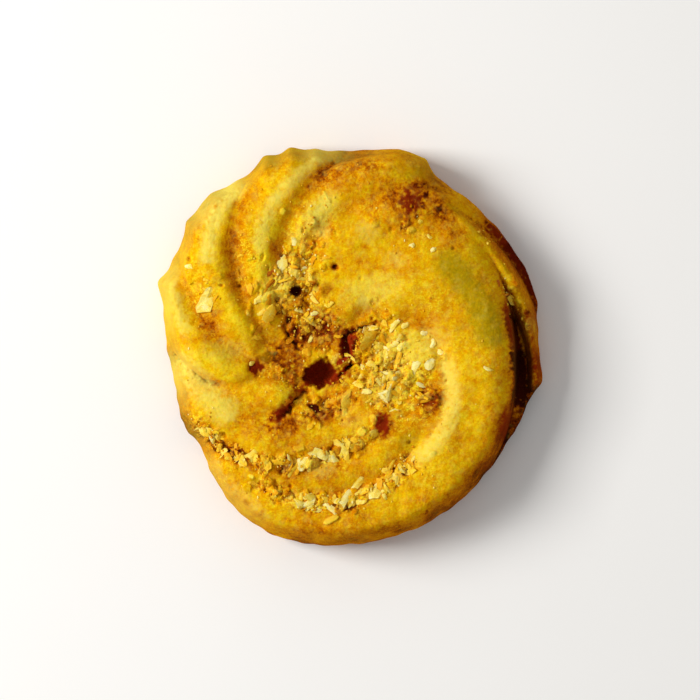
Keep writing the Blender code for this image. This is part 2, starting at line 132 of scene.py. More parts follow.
# Cracks: x and y along the line, depth, half width.
cracks = {
    "longCrack": ((-10.7, -9.7, -8.0, -5.6), (-11.5, -9.9, -8.2, -5.7), 1.3, 0.42),
    "sideCrack": ((-2.9, -1.1, 0.4, 2.5, 4.9), (-4.7, -4.1, -2.9, -1.9, -1.3), 1.2, 0.22),
    "tipCrevice": ((-1.4, 0.4, 2.3, 5.6), (1.3, 2.4, 3.1, 3.5), 1.8, 0.24),
    "flapEdge": ((-25.8, -23.7, -21.6, -19.2), (-1.4, -3.5, -5.3, -5.0), 0.35, 0.5),
    "crumbSplit": ((-9.8, -9.5, -8.8, -7.4), (5.8, 3.2, 1.0, -0.8), 1.1, 0.45),
    "shortCrack": ((2.8, 3.6, 4.4, 4.9), (6.95, 6.85, 6.95, 7.0), 0.35, 0.14),
}
# Hollows: x, y, half length, half width, turn, floor height, steepness of the wall.
hollows = {
    "pit": (-4.3, -4.0, 2.7, 2.0, 14.0, 4.6, 3.6),
    "pitShelf": (-2.2, -4.5, 1.8, 1.3, 20.0, 6.8, 2.6),
    "pocket": (-14.5, -3.2, 0.9, 0.8, 30.0, 10.4, 2.0),
    "underTip": (-0.6, 0.2, 1.1, 2.0, -8.0, 6.8, 3.0),
    "crumbGap": (-0.1, -3.2, 0.7, 1.0, -20.0, 7.4, 2.6),
}
# Slow waves that make cracks and hollows uneven: waves in x, waves in y, shift, size.
wobble = (
    (0.9, 1.3, 0.3, 0.22), (1.9, -1.0, 1.9, 0.14), (-1.5, 2.6, 4.1, 0.10), (4.0, 3.0, 0.7, 0.12),
    (-3.1, 6.2, 2.6, 0.09),
)


# Plain formulas.

def along(values, share):
    # The one smooth curve through evenly spaced values: each value times a weight that is
    # one at its own place and nought at all the others.
    values = np.asarray(values, dtype=float)
    places = np.linspace(0.0, 1.0, len(values))
    total = np.zeros_like(share, dtype=float)
    for i, value in enumerate(values):
        weight = np.ones_like(share, dtype=float)
        for j, place in enumerate(places):
            if j != i:
                weight = weight * (share - place) / (places[i] - place)
        total = total + value * weight
    return total


def fromPole(x, y):
    # Distance from the pole by Pythagoras, and the angle about it in degrees.
    x, y = x - swirl["pole"][0], y - swirl["pole"][1]
    return np.hypot(x, y), np.degrees(np.arctan2(y, x))


def aroundPole(radius, turn):
    # The point this far from the pole, at this angle in radians.
    return swirl["pole"][0] + radius * np.cos(turn), swirl["pole"][1] + radius * np.sin(turn)


def turned(x, y, turn):
    # How far along and how far across a direction, given in radians, each point lies.
    c, s = math.cos(turn), math.sin(turn)
    return x * c + y * s, -x * s + y * c


def wrapAngle(angle):
    # The same angle brought between -180 and 180.
    return (angle + 180.0) % 360.0 - 180.0


def rise(value, low, high):
    # Nought below low, one above high, and three squares less two cubes in between.
    part = np.clip((value - low) / (high - low), 0.0, 1.0)
    return part * part * (3.0 - 2.0 * part)


def outlineRadius(angle, tip=swirl["toothTip"], unevenness=1.0):
    # The mean radius, plus a cosine and a sine for each number of waves, plus a rounded
    # tooth for each rope's end that falls away steeply on one side and slowly on the
    # other, plus a little fine unevenness.
    turn = np.radians(angle)
    radius = np.full_like(turn, swirl["outlineMean"])
    for wave, (c, s) in enumerate(zip(swirl["outlineCos"], swirl["outlineSin"]), start=1):
        radius = radius + c * np.cos(wave * turn) + s * np.sin(wave * turn)
    for centre, height, tail in swirl["edgeTeeth"]:
        gap = wrapAngle(angle - centre) * (1.0 if tail > 0 else -1.0)
        run = np.where(gap > 0, abs(tail), swirl["toothFront"])
        radius = radius + height * np.exp((tip - np.sqrt(gap**2 + tip**2)) / run)
    for waves, size, shift in swirl["edgeWaves"]:
        radius = radius + unevenness * size * np.sin(waves * turn + shift)
    return radius


def domeHeight(radius, angle):
    # A rounded rise inwards from the edge, which stands back over the low rim, less a
    # bell-shaped sink in the middle.
    aside = wrapAngle(angle - swirl["ledgeAngle"]) / swirl["ledgeSpread"]
    ledge = np.clip(1.0 - np.abs(aside) ** 4, 0.0, 1.0) ** 2
    reach = outlineRadius(angle, swirl["domeTip"], 0.0) - swirl["ledgeDepth"] * ledge
    inset = np.clip((reach - radius) / swirl["domeRun"], 0.0, 1.0)
    sink = swirl["middleSink"] * np.exp(-((radius / swirl["middleReach"]) ** 2))
    return swirl["domeLow"] + swirl["domeRise"] * np.sqrt(1.0 - (1.0 - inset) ** 2.4) - sink


def nearestOnLine(x, y, lineX, lineY):
    # For each point, the least distance to any straight step of the line, and how far
    # along the line that place is, from nought to one.
    best = np.full(x.shape, 1e9)
    share = np.zeros(x.shape)
    count = len(lineX) - 1
    for i in range(count):
        stepX, stepY = lineX[i + 1] - lineX[i], lineY[i + 1] - lineY[i]
        part = ((x - lineX[i]) * stepX + (y - lineY[i]) * stepY) / (stepX**2 + stepY**2)
        part = np.clip(part, 0.0, 1.0)
        away = (x - lineX[i] - part * stepX) ** 2 + (y - lineY[i] - part * stepY) ** 2
        closer = away < best
        best = np.where(closer, away, best)
        share = np.where(closer, (i + part) / count, share)
    return np.sqrt(best), share


def besideLine(x, y, lineX, lineY):
    # Every place of the line is weighted by a bell of its distance. The logarithm of the
    # sum of weights gives the distance to the line without creases; the weighted means
    # give the share of the way along it and how far to the left of it the point lies.
    spread = swirl["lineSoftness"]
    stepX, stepY = np.gradient(lineX), np.gradient(lineY)
    length = np.hypot(stepX, stepY)
    total, wayTotal, leftTotal = np.zeros_like(x), np.zeros_like(x), np.zeros_like(x)
    for i in range(len(lineX)):
        awayX, awayY = x - lineX[i], y - lineY[i]
        weight = length[i] * np.exp(-(awayX**2 + awayY**2) / (2.0 * spread**2))
        total += weight
        wayTotal += weight * (i / (len(lineX) - 1.0))
        leftTotal += weight * (stepX[i] * awayY - stepY[i] * awayX) / length[i]
    away = np.sqrt(np.maximum(-2.0 * spread**2 * np.log(total / (spread * math.sqrt(2.0 * math.pi))), 0.0))
    return away, wayTotal / total, leftTotal / total


def ropeLine(start, end, radii):
    # The angle runs evenly from start to end and the radius follows its named values.
    share = np.linspace(0.0, 1.0, 73)
    angle = start + (end - start) * share
    radius = along(radii, share)
    return share, angle, radius, *aroundPole(radius, np.radians(angle))


def ropeHeight(x, y, rope, overDome):
    # The crest height, less the depth times a power of the distance in half widths, less
    # a steep straight fall beside the rope.
    start, end, radii, crests, leftHalf, rightHalf, depth, power, slope = rope
    share, angle, radius, lineX, lineY = ropeLine(start, end, radii)
    crest = along(crests, share)
    if overDome:
        crest = crest + domeHeight(radius, angle)
    reach = max(leftHalf + rightHalf) + 4.0
    far, turn = fromPole(x, y)
    close = (far > radius.min() - reach) & (far < radius.max() + reach)
    close &= np.abs(wrapAngle(turn - 0.5 * (start + end))) < 0.5 * (end - start) + 45.0
    height = np.full(x.shape, -60.0)  # far below, where the rope doesn't reach
    away, at, left = besideLine(x[close], y[close], lineX, lineY)
    leftShare = 0.5 + 0.5 * np.tanh(left / 0.8)
    half = leftShare * along(leftHalf, at) + (1.0 - leftShare) * along(rightHalf, at)
    fall = depth * np.minimum(away / half, 1.0) ** power + slope * np.maximum(away - half, 0.0)
    height[close] = np.interp(at, share, crest) - fall
    return height


def softMax(first, second, blend):
    # The greater of two heights, joined by the logarithm of the sum of their exponentials.
    return blend * np.logaddexp(first / blend, second / blend)


def hollowHeight(x, y, hollow):
    # The floor, plus a wall that grows with the cube of the distance in half widths.
    centreX, centreY, halfLong, halfWide, turn, floor, steep = hollow
    u, v = turned(x - centreX, y - centreY, math.radians(turn))
    away = (u / halfLong) ** 2 + (v / halfWide) ** 2
    return floor + steep * np.clip(away**1.5, 0.0, 20.0)


def wobbled(x, y):
    # The point moved by a few slow sine waves.
    moveX = sum(size * np.sin(a * x + b * y + c) for a, b, c, size in wobble)
    moveY = sum(size * np.cos(b * x - a * y + 1.7 * c) for a, b, c, size in wobble)
    return x + moveX, y + moveY


def crackDepth(x, y, crack):
    # A bell across the line, of uneven width and depth, drawn in to nothing at both ends.
    lineX, lineY, depth, half = crack
    way = np.linspace(0.0, 1.0, 25)
    away, at = nearestOnLine(x, y, along(lineX, way), along(lineY, way))
    ends = np.clip(5.0 * at, 0.0, 1.0) * np.clip(5.0 * (1.0 - at), 0.0, 1.0)
    uneven = 0.75 + 0.25 * np.sin(3.1 * x + 1.0) * np.cos(2.3 * y)
    return ends * uneven * depth * np.exp(-((away / (half * (0.7 + 0.6 * uneven))) ** 2))


def doughHeight(x, y):
    # The greatest of dome and ropes, rounded down at the edge as a quarter circle, cut by
    # the hollows, less the cracks.
    radius, angle = fromPole(x, y)
    height = domeHeight(radius, angle)
    for rope in ropes.values():
        height = softMax(height, ropeHeight(x, y, rope, True), swirl["blend"])
    for rope in rimRopes.values():
        height = softMax(height, ropeHeight(x, y, rope, False), swirl["blend"])
    inset = np.clip((radius - outlineRadius(angle) + swirl["shoulder"]) / swirl["shoulder"], 0.0, 1.0)
    foot = swirl["footHeight"]
    height = foot + (height - foot) * np.sqrt(np.clip(1.0 - inset**2, 0.0, 1.0))
    unevenX, unevenY = wobbled(x, y)
    for hollow in hollows.values():
        height = -softMax(-height, -hollowHeight(unevenX, unevenY, hollow), 0.2)
    for crack in cracks.values():
        height = height - crackDepth(unevenX, unevenY, crack)
    return np.maximum(height, foot * 0.9)


# The plan grid on which fine relief, browning and painted shade are worked out.

plan = {"step": 0.1, "halfX": 31.0, "halfY": 32.0}
planX = np.arange(-plan["halfX"], plan["halfX"] + 1e-6, plan["step"])
planY = np.arange(-plan["halfY"], plan["halfY"] + 1e-6, plan["step"])
gridX, gridY = np.meshgrid(planX, planY)
gridRadius, gridAngle = fromPole(gridX, gridY)
gridInset = outlineRadius(gridAngle) - gridRadius  # way in from the edge
waveY = np.fft.fftfreq(len(planY), plan["step"])[:, None]
waveX = np.fft.rfftfreq(len(planX), plan["step"])[None, :]
waveCount = np.hypot(waveX, waveY)  # waves in a millimetre


def bandNoise(size, seed):
    # White noise kept only near one wavelength: its waves are weighted by a ring-shaped
    # bell about one over the size, and the result is brought to a spread of one.
    rng = np.random.default_rng(seed)
    waves = np.fft.rfft2(rng.standard_normal(gridX.shape))
    waves = waves * np.exp(-(((waveCount * size) - 0.7) / 0.45) ** 2)
    field = np.fft.irfft2(waves, gridX.shape)
    return field / field.std()


def softened(field, size):
    # The field blurred by a bell of this size.
    waves = np.fft.rfft2(field) * np.exp(-2.0 * (math.pi * waveCount * size) ** 2)
    return np.fft.irfft2(waves, gridX.shape)


def softenedInside(field, size):
    # The same blur, counting only the points well inside the outline.
    inside = rise(gridInset, 0.6, 1.6)
    return softened(field * inside, size) / np.maximum(softened(inside, size), 0.02)


def sample(field, x, y):
    # The four nearest grid values, each weighted by how near it is.
    u = np.clip((x + plan["halfX"]) / plan["step"], 0, field.shape[1] - 1.001)
    v = np.clip((y + plan["halfY"]) / plan["step"], 0, field.shape[0] - 1.001)
    i, j = u.astype(int), v.astype(int)
    a, b = u - i, v - j
    low = field[j, i] * (1 - a) + field[j, i + 1] * a
    high = field[j + 1, i] * (1 - a) + field[j + 1, i + 1] * a
    return low * (1 - b) + high * b


def blob(x, y, halfX, halfY, turn):
    # One at the middle of a turned ellipse and falling off as a bell.
    u, v = turned(gridX - x, gridY - y, math.radians(turn))
    return np.exp(-((u / halfX) ** 2 + (v / halfY) ** 2))


def strip(lineX, lineY, half):
    # One along a smooth line through four places, falling off as a bell beside it and
    # fading out over the last eighth at each end.
    way = np.linspace(0.0, 1.0, 17)
    away, at = nearestOnLine(gridX, gridY, along(lineX, way), along(lineY, way))
    ends = rise(at, -0.02, 0.12) * rise(1.0 - at, -0.02, 0.12)
    return ends * np.exp(-((away / half) ** 2))


# Where the surface is crumbly and full of coconut: x, y, half sizes, turn, amount.
crumbZones = (
    (4.6, -3.4, 5.4, 5.6, 0.0, 0.85), (9.6, -7.0, 4.6, 5.0, 0.0, 0.4), (-8.6, 10.4, 3.6, 5.6, -25.0, 1.0),
    (-5.6, 3.2, 3.2, 3.6, 0.0, 1.0), (-4.6, -9.6, 3.2, 2.0, 0.0, 0.8), (24.0, 7.0, 1.0, 2.6, 20.0, 0.8),
    (26.6, 4.0, 1.3, 6.0, 18.0, 0.35), (2.8, 1.0, 3.4, 2.6, 20.0, 0.9), (-21.4, 7.5, 2.0, 2.2, 0.0, 0.4),
    (-3.4, 20.0, 3.0, 4.0, -30.0, 0.25), (-9.6, -5.0, 3.6, 2.4, 20.0, 0.4),
    (-15.4, 13.0, 1.2, 5.0, -10.0, 0.35), (19.6, 17.6, 2.6, 1.0, -50.0, 0.7),
    (9.0, 17.6, 3.0, 3.0, 0.0, 0.3), (-24.0, 10.0, 1.4, 4.0, 0.0, 0.3),
    (10.0, -17.0, 4.0, 2.4, 35.0, 0.3),
)
# Strips of flakes in the grooves: start and end angle, radii, half width, amount.
crumbBelts = (
    (204, 300, (20.9, 17.4, 13.8, 12.4), 1.3, 1.0),
    (242, 308, (20.2, 20.8, 20.4, 19.2), 1.3, 1.0),
)


def crumbliness():
    # The sum of the soft zones and of a bell across each strip, held to one at most.
    total = np.zeros_like(gridX)
    for x, y, halfX, halfY, turn, amount in crumbZones:
        total = total + amount * blob(x, y, halfX, halfY, turn)
    for start, end, radii, half, amount in crumbBelts:
        away = nearestOnLine(gridX, gridY, *ropeLine(start, end, radii)[3:])[0]
        total = total + amount * np.exp(-((away / half) ** 2))
    total = total * (1.0 + 0.25 * bandNoise(3.0, 31))
    return np.clip(total, 0.0, 1.0) * rise(gridInset, 0.4, 2.0)


# Pin holes: x, y, radius, depth.
pinHoles = (
    (-8.0, 8.3, 0.85, 2.2), (-2.2, 11.9, 0.55, 0.9), (-16.4, 9.0, 0.3, 0.5), (-10.9, 7.0, 0.5, 0.9),
    (8.9, -14.3, 0.3, 0.5), (-10.3, -18.9, 0.3, 0.4), (15.4, 14.6, 0.25, 0.4), (-2.5, 27.4, 0.3, 0.4),
    (-14.2, 1.8, 0.35, 0.4), (-8.9, -20.8, 0.3, 0.5), (-12.5, -21.4, 0.35, 0.5), (1.6, 10.2, 0.3, 0.3),
)
shards = {  # flat flecks pressed into the crumbly dough, sizes in millimetres
    "count": 360,
    "length": (0.8, 2.6),
    "width": (0.5, 1.3),
    "lift": (0.05, 0.34),
    "tilt": 0.30,
    "pitCount": 150,
    "pitDepth": (0.15, 0.60),
    "seed": 2207,
}


def stampShards(height, crumbly):
    # Each shard is a tilted plane inside a ragged turned ellipse, and the surface becomes
    # the higher of itself and the plane; pits take the lower of itself and a small bowl.
    # Each shard also leaves its own tint, from pale (-1) to toasted (1).
    rng = np.random.default_rng(shards["seed"])
    tint = np.zeros_like(height)
    chance = (crumbly**1.3).ravel()
    total = shards["count"] + shards["pitCount"]
    cells = rng.choice(chance.size, total, p=chance / chance.sum())
    for number, cell in enumerate(cells):
        row, column = divmod(int(cell), gridX.shape[1])
        isPit = number >= shards["count"]
        long = rng.uniform(*shards["length"]) * (0.5 if isPit else 1.0)
        wide = rng.uniform(*shards["width"]) * (0.8 if isPit else 1.0)
        reach = int(0.6 * long / plan["step"]) + 2
        rows = slice(max(row - reach, 0), row + reach + 1)
        columns = slice(max(column - reach, 0), column + reach + 1)
        turn = rng.uniform(0.0, math.pi)
        dx, dy = gridX[rows, columns] - gridX[row, column], gridY[rows, columns] - gridY[row, column]
        u, v = turned(dx, dy, turn)
        u, v = u / (0.5 * long), v / (0.5 * wide)
        here = height[rows, columns]
        ground = height[row, column]
        if isPit:
            bowl = ground - rng.uniform(*shards["pitDepth"]) * (1.0 - u**2 - v**2)
            height[rows, columns] = np.where(u**2 + v**2 < 1.0, np.minimum(here, bowl), here)
            continue
        ragged = 0.22 * np.sin(5.0 * u + number) * np.cos(4.0 * v + 2.0 * number)
        inside = np.abs(u) ** 2.6 + np.abs(v) ** 2.6 + ragged < 1.0
        plane = ground + rng.uniform(*shards["lift"])
        plane = plane + shards["tilt"] * (rng.uniform(-1, 1) * dx + rng.uniform(-1, 1) * dy)
        plane = np.minimum(plane, here + 0.5)
        shown = inside & (plane > here)
        height[rows, columns] = np.where(shown, plane, here)
        tint[rows, columns] = np.where(shown, rng.uniform(-1.0, 0.8), tint[rows, columns])
    return height, tint


# Broken pieces of crumb: size, stretch, turn, height, tilt, depth of the gaps between.
rubble = {"coarse": (2.0, 1.6, 50.0, 0.34, 0.40, 0.30), "fine": (0.9, 1.4, -35.0, 0.20, 0.40, 0.20)}


def brokenCells(size, stretch, turn, seed):
    # The plane is cut into turned oblongs with one spot thrown into each. Every point
    # belongs to its nearest spot, and the gap is how much further off the second one is.
    # Each spot brings its own tilted plane and its own tone.
    spots = np.random.default_rng(seed).uniform(-0.5, 0.5, (6, 64, 64))
    u, v = turned(gridX, gridY, math.radians(turn))
    u = u / (size * stretch) + 0.16 * bandNoise(size, seed + 1)
    v = v / size + 0.16 * bandNoise(size, seed + 2)
    best, second = np.full(u.shape, 9.0), np.full(u.shape, 9.0)
    plane, tone = np.zeros(u.shape), np.zeros(u.shape)
    for across in (-1, 0, 1):
        for up in (-1, 0, 1):
            i, j = np.floor(u).astype(int) + across, np.floor(v).astype(int) + up
            spot = spots[:, i % 64, j % 64]
            du, dv = u - i - 0.5 - 0.9 * spot[0], v - j - 0.5 - 0.9 * spot[1]
            away = np.hypot(du, dv)
            closer = away < best
            second = np.where(closer, best, np.minimum(second, away))
            best = np.where(closer, away, best)
            plane = np.where(closer, spot[2] + 1.6 * (spot[3] * du + spot[4] * dv), plane)
            tone = np.where(closer, spot[5], tone)
    return plane, second - best, tone


def layRubble(crumbly):
    # Both sizes of broken pieces, each with a bell-shaped groove along its gaps.
    height, tint, gaps = np.zeros_like(gridX), np.zeros_like(gridX), np.zeros_like(gridX)
    for number, (size, stretch, turn, rough, tilt, depth) in enumerate(rubble.values()):
        plane, gap, tone = brokenCells(size, stretch, turn, 300 + 10 * number)
        much = rise(crumbly, 0.15, 0.75)
        groove = np.exp(-((gap / 0.13) ** 2))
        height = height + much * (rough * plane - depth * groove)
        tint = tint + (1.3 - 0.4 * number) * much * tone
        gaps = np.maximum(gaps, (1.0 - 0.35 * number) * much * groove)
    return height, tint, gaps


grain = {  # size and height of each scale of unevenness, in millimetres
    "swell": (8.0, 0.13),
    "lumps": (2.8, 0.045),
    "crumb": (1.1, 0.018),
    "fine": (0.5, 0.012),
}


def fineRelief(crumbly):
    # Noise at four sizes; the two finest grow where the dough is crumbly.
    total = np.zeros_like(gridX)
    for number, (size, height) in enumerate(grain.values()):
        gain = 1.0 + 0.5 * crumbly if number < 2 else 1.0 + 1.2 * crumbly
        total = total + gain * height * bandNoise(size, 900 + number)
    return total * rise(gridInset, -0.2, 1.6)


def filledCreases():
    # Dough half fills the sharp lines between the outer ropes: as far as a blurred form
    # lies above the form itself, up to half a millimetre.
    fill = np.clip(softened(baseField, 0.8) - baseField, 0.0, 0.5) * rise(gridInset, 1.0, 3.0)
    turn = np.abs(wrapAngle(gridAngle - 125.0))
    return 0.85 * fill * rise(gridRadius, 12.0, 15.0) * (1.0 - rise(turn, 65.0, 85.0))


baseField = doughHeight(gridX, gridY)
report("form worked out on the plan grid")
crumbly = crumbliness()
rubbleField, rubbleTint, gapField = layRubble(crumbly)
heap = 1.2 * blob(-8.8, 9.6, 2.8, 4.4, -20.0)  # crumbs heaped beside the inner ridge
pressed = baseField + filledCreases() + fineRelief(crumbly) + rubbleField + heap
heightField, tintField = stampShards(pressed, crumbly)
tintField = np.where(tintField == 0.0, rubbleTint, tintField)
unevenX, unevenY = wobbled(gridX, gridY)
openness = sum(crackDepth(unevenX, unevenY, crack) for crack in cracks.values())
heightField = baseField + (heightField - baseField) * (1.0 - 0.85 * rise(openness, 0.15, 0.7))
for holeX, holeY, holeRadius, holeDepth in pinHoles:
    away = (gridX - holeX) ** 2 + (gridY - holeY) ** 2
    heightField = heightField - holeDepth * np.exp(-((away / holeRadius**2) ** 2))
reliefField = heightField - baseField
# Where the dough falls to the right, away from the light: the mask for painted shade.
slopeY, slopeX = np.gradient(softenedInside(baseField, 0.25), plan["step"])
leeField = np.clip(0.21 * slopeY - 0.98 * slopeX, 0.0, 1.0) * rise(gridInset, 0.5, 2.5)
report("crumbs and grain pressed into the surface")

# Browning, painted shade and the other colours.

# Patches: x, y, half sizes, turn, amount. Streaks: four x, four y, half width, amount.
# Painted shade among them: streaks along grooves and creases, the dark pocket and hole, the dark gap and low
# band beside the broad rope, and the right shoulder; the rest are browner, burnt and paler spots.
browningAndShade = {
    "ground": 0.34,
    "lee": 0.09,  # painted shade on slopes that fall to the right
    "valley": 0.22,  # painted shade: more in grooves, less on crests, for each millimetre
    "crumbDip": 0.40,  # painted shade in the dips between crumbs
    "crumbTone": 0.20,  # how far crumbs differ
    "gap": 0.24,  # painted shade in the gaps between them
    "middle": 0.10,  # more on the crumbs above the pit
    "edge": 0.12,
    "shadedEdge": 0.36,  # painted shade along the lower right border, away from the light
    "leftEdge": 0.40,
    "marks": 0.8,  # share of the amounts below that counts
    "patches": (
        (10.0, 22.5, 1.8, 2.6, -20, 0.50), (7.4, 22.0, 2.4, 1.6, 10, 0.26),
        (8.8, 19.8, 1.8, 2.2, 0, 0.30), (12.2, 21.4, 2.6, 1.8, -30, 0.34),
        (-2.9, -26.0, 9.0, 3.0, 0, 0.23), (15.1, 17.5, 5.5, 4.0, -45, 0.06),
        (0.1, 25.4, 7.0, 2.6, 0, 0.38), (-14.9, -11.8, 3.6, 2.0, -20, 0.34),
        (-23.5, 8.0, 3.0, 2.6, 0, 0.10), (6.0, 20.0, 4.0, 3.0, 20, 0.24),
        (-6.0, -14.5, 6.0, 1.6, 0, 0.20), (-26.0, -13.0, 3.0, 1.6, -50, 0.40),
        (13.0, 4.0, 5.0, 5.0, 0, 0.10), (17.6, 20.8, 3.3, 1.5, -42, -0.06),
        (14.0, 19.8, 2.2, 1.2, -42, 0.22), (16.6, -20.0, 3.6, 2.6, 40, 0.08),
        (17.4, 21.6, 2.6, 1.4, -42, -0.14), (14.8, 17.0, 3.4, 2.4, -40, 0.10),
        (13.5, 22.4, 3.0, 2.0, -30, 0.10), (5.0, 27.6, 5.0, 1.6, 0, 0.14),
        (-11.5, 14.8, 0.6, 1.3, 0, 0.4), (-8.6, 3.1, 0.9, 2.2, 0, 0.45),
        (-24.7, -10.9, 2.2, 1.1, -52, 0.42), (-2.9, -19.6, 2.4, 1.1, 0, 0.10),
        (-14.1, -3.0, 1.0, 1.1, 0, 0.9), (-12.2, -1.7, 1.6, 0.9, 0, 0.32),
        (-10.4, -9.7, 1.9, 0.8, 30, 0.35), (-5.6, -8.9, 0.8, 0.4, -20, 1.0),
        (11.9, -8.0, 2.3, 2.1, 0, 0.52), (4.9, -11.6, 1.8, 2.4, 8, 0.45),
        (-5.0, -9.4, 1.0, 0.4, -20, 1.2), (19.6, -18.5, 0.8, 0.6, 0, 0.6),
        (15.4, -23.6, 1.1, 0.6, 30, 0.7), (11.5, -25.1, 0.4, 0.8, 0, 0.8),
        (23.2, -12.5, 0.9, 3.3, -15, 0.20), (-7.1, 1.0, 2.1, 1.5, 0, 0.25),
        (-13.1, -7.4, 1.8, 1.1, 0, 0.12), (-8.1, 8.3, 1.0, 0.7, -10, 2.2),
        (-2.2, 11.9, 0.45, 0.4, 0, 1.0), (-10.2, 9.5, 3.0, 4.6, -25, -0.20),
        (-4.0, 3.4, 3.4, 3.2, 0, 0.20), (-7.8, 17.6, 2.2, 2.2, 0, -0.18), (2.3, 12.0, 1.8, 1.6, 0, 0.14),
        (-11.2, 8.6, 2.0, 2.0, 0, -0.30), (-4.4, 6.3, 1.5, 1.3, 0, -0.20), (0.2, 0.8, 1.1, 2.6, -8, 0.50),
        (-9.8, 0.6, 2.4, 2.0, 0, 0.15), (-4.4, -10.0, 1.9, 1.6, 0, 0.22), (0.1, -11.8, 1.5, 1.0, 0, 0.25),
        (-2.3, -5.0, 1.2, 1.0, 20, 0.50), (1.2, -18.3, 2.0, 1.2, 0, 0.25),
        (10.2, -23.0, 2.6, 1.2, 20, 0.22), (-20.8, 5.0, 2.0, 2.6, 0, 0.28),
        (-18.5, -0.6, 3.2, 1.6, 0, -0.12), (-11.0, 27.6, 4.0, 1.4, 20, 0.30),
        (13.5, 17.0, 3.6, 2.4, -30, 0.12), (-1.4, 0.6, 2.4, 2.6, 0, 0.34),
        (-9.7, -1.3, 2.8, 2.2, 0, 0.40), (-7.4, -4.3, 2.2, 2.6, 0, 0.42), (-2.2, -7.8, 3.4, 1.8, 0, 0.42),
        (-9.4, -11.8, 3.4, 1.6, 0, 0.42), (7.6, -1.5, 6.5, 5.0, 0, -0.30),
        (3.4, 8.6, 5.0, 2.6, 10, -0.16), (9.6, -16.0, 3.0, 2.0, 35, -0.20),
        (-23.2, 0.6, 2.4, 1.6, 0, 0.18), (-3.8, 20.6, 2.2, 3.4, -35, -0.22),
        (-24.0, 5.0, 2.0, 3.0, 0, -0.15), (0.1, 28.3, 6.0, 0.9, 0, 0.2),
        (-15.7, 26.5, 1.1, 1.8, -30, 0.22),
    ),
    "streaks": (
        ((-0.8, -4.2, -7.3, -9.6), (28.4, 25.8, 22.8, 20.4), 1.6, 0.06),
        ((-11.0, -12.6, -13.0, -12.4), (19.5, 16.5, 13.0, 10.0), 1.5, -0.26),
        ((-13.4, -16.2, -17.0, -15.4), (24.8, 19.2, 12.8, 6.0), 1.7, 0.15),
        ((-25.6, -22.2, -17.8, -11.2), (14.4, 19.6, 24.2, 28.0), 1.8, 0.30),
        ((-21.8, -20.0, -17.0, -12.0), (-15.0, -19.0, -22.5, -25.5), 1.4, 0.24),
        ((-27.3, -26.0, -25.0, -25.3), (1.0, -4.0, -9.0, -13.0), 1.3, 0.28),
        ((17.3, 21.6, 22.6, 20.8), (12.2, 5.5, -4.0, -14.0), 2.0, 0.22),
        ((-26.5, -23.9, -21.5, -18.5), (-0.8, -3.4, -5.3, -5.0), 0.6, 0.34),
        ((-24.8, -17.6, -8.2, 0.4), (-10.7, -16.1, -19.1, -17.6), 1.3, 0.30),
        ((-4.1, 1.9, 7.6, 11.8), (-24.2, -23.0, -19.4, -14.9), 0.9, 0.16),
        ((20.0, 23.6, 26.4, 28.2), (19.4, 15.9, 11.6, 7.2), 0.8, 0.95),
        ((23.2, 24.6, 25.6, 25.6), (6.8, 1.5, -3.2, -8.4), 1.0, 0.9),
        ((24.8, 25.2, 25.4, 25.2), (0.2, -3.0, -6.0, -9.4), 1.3, 0.9),
        ((22.4, 24.2, 25.6, 27.2), (13.2, 8.8, 4.6, -1.0), 0.9, -0.16),
    ),
}
rustAndShadeMarks = {  # dark red where dough split or caught, plus painted shade in gaps, cracks and pits
    "gap": 0.10,
    "middleGap": 0.7,
    "patches": (
        (-5.0, 3.4, 3.2, 3.2, 0, 0.34), (-3.5, 8.5, 1.1, 1.1, 0, 0.6), (-4.0, -10.6, 1.9, 1.0, 0, 0.50),
        (4.9, -11.6, 1.1, 2.0, 8, 1.3), (-15.5, -23.3, 0.6, 0.5, 0, 0.5), (-4.1, -4.1, 2.5, 2.1, 18, 1.0),
        (-0.5, -0.4, 1.3, 2.5, -8, 0.9), (-0.5, -3.8, 1.3, 0.9, -25, 0.8),
        (12.2, -8.3, 1.4, 1.2, 0, 0.50), (28.0, -3.5, 1.4, 2.6, -10, 0.34),
        (-2.3, -5.0, 1.2, 1.0, 20, 0.6), (0.2, 0.8, 1.0, 2.4, -8, 0.5), (-10.9, -10.6, 1.2, 0.8, 30, 0.8),
        (-14.1, -3.0, 1.2, 1.3, 0, 0.7), (-8.4, -3.0, 2.0, 2.4, 0, 0.30), (-1.6, 1.6, 1.6, 1.6, 0, 0.35),
        (0.4, -11.0, 0.8, 0.6, 0, 0.3), (-8.8, 7.0, 2.1, 1.1, -20, 0.2), (3.4, -0.8, 0.8, 1.5, 0, 0.3),
        (-10.1, 11.2, 1.3, 2.1, 0, 0.25), (8.9, 21.9, 1.9, 2.3, -15, 0.70),
        (23.1, -11.4, 1.0, 3.2, -14, 0.9), (20.6, -17.6, 0.9, 1.4, -30, 0.5),
        (19.9, 17.3, 1.4, 0.8, -45, 0.4), (23.6, 7.3, 0.6, 1.5, -20, 0.4), (-1.6, -2.3, 0.8, 0.8, 0, 0.6),
    ),
    "streaks": (
        ((20.0, 23.6, 26.4, 28.2), (18.9, 15.2, 10.7, 5.4), 0.8, 0.70),
        ((-11.0, -9.6, -8.0, -6.0), (-10.9, -8.7, -7.0, -5.0), 0.7, 0.8),
        ((23.0, 23.8, 24.6, 25.2), (7.0, 4.4, 1.8, -0.8), 0.9, 0.75),
        ((26.0, 27.6, 28.4, 28.8), (6.5, 2.0, -2.0, -6.0), 1.4, 0.62),
        ((20.6, 23.6, 25.6, 27.0), (16.2, 12.2, 8.2, 4.0), 1.0, 0.30),
    ),
}
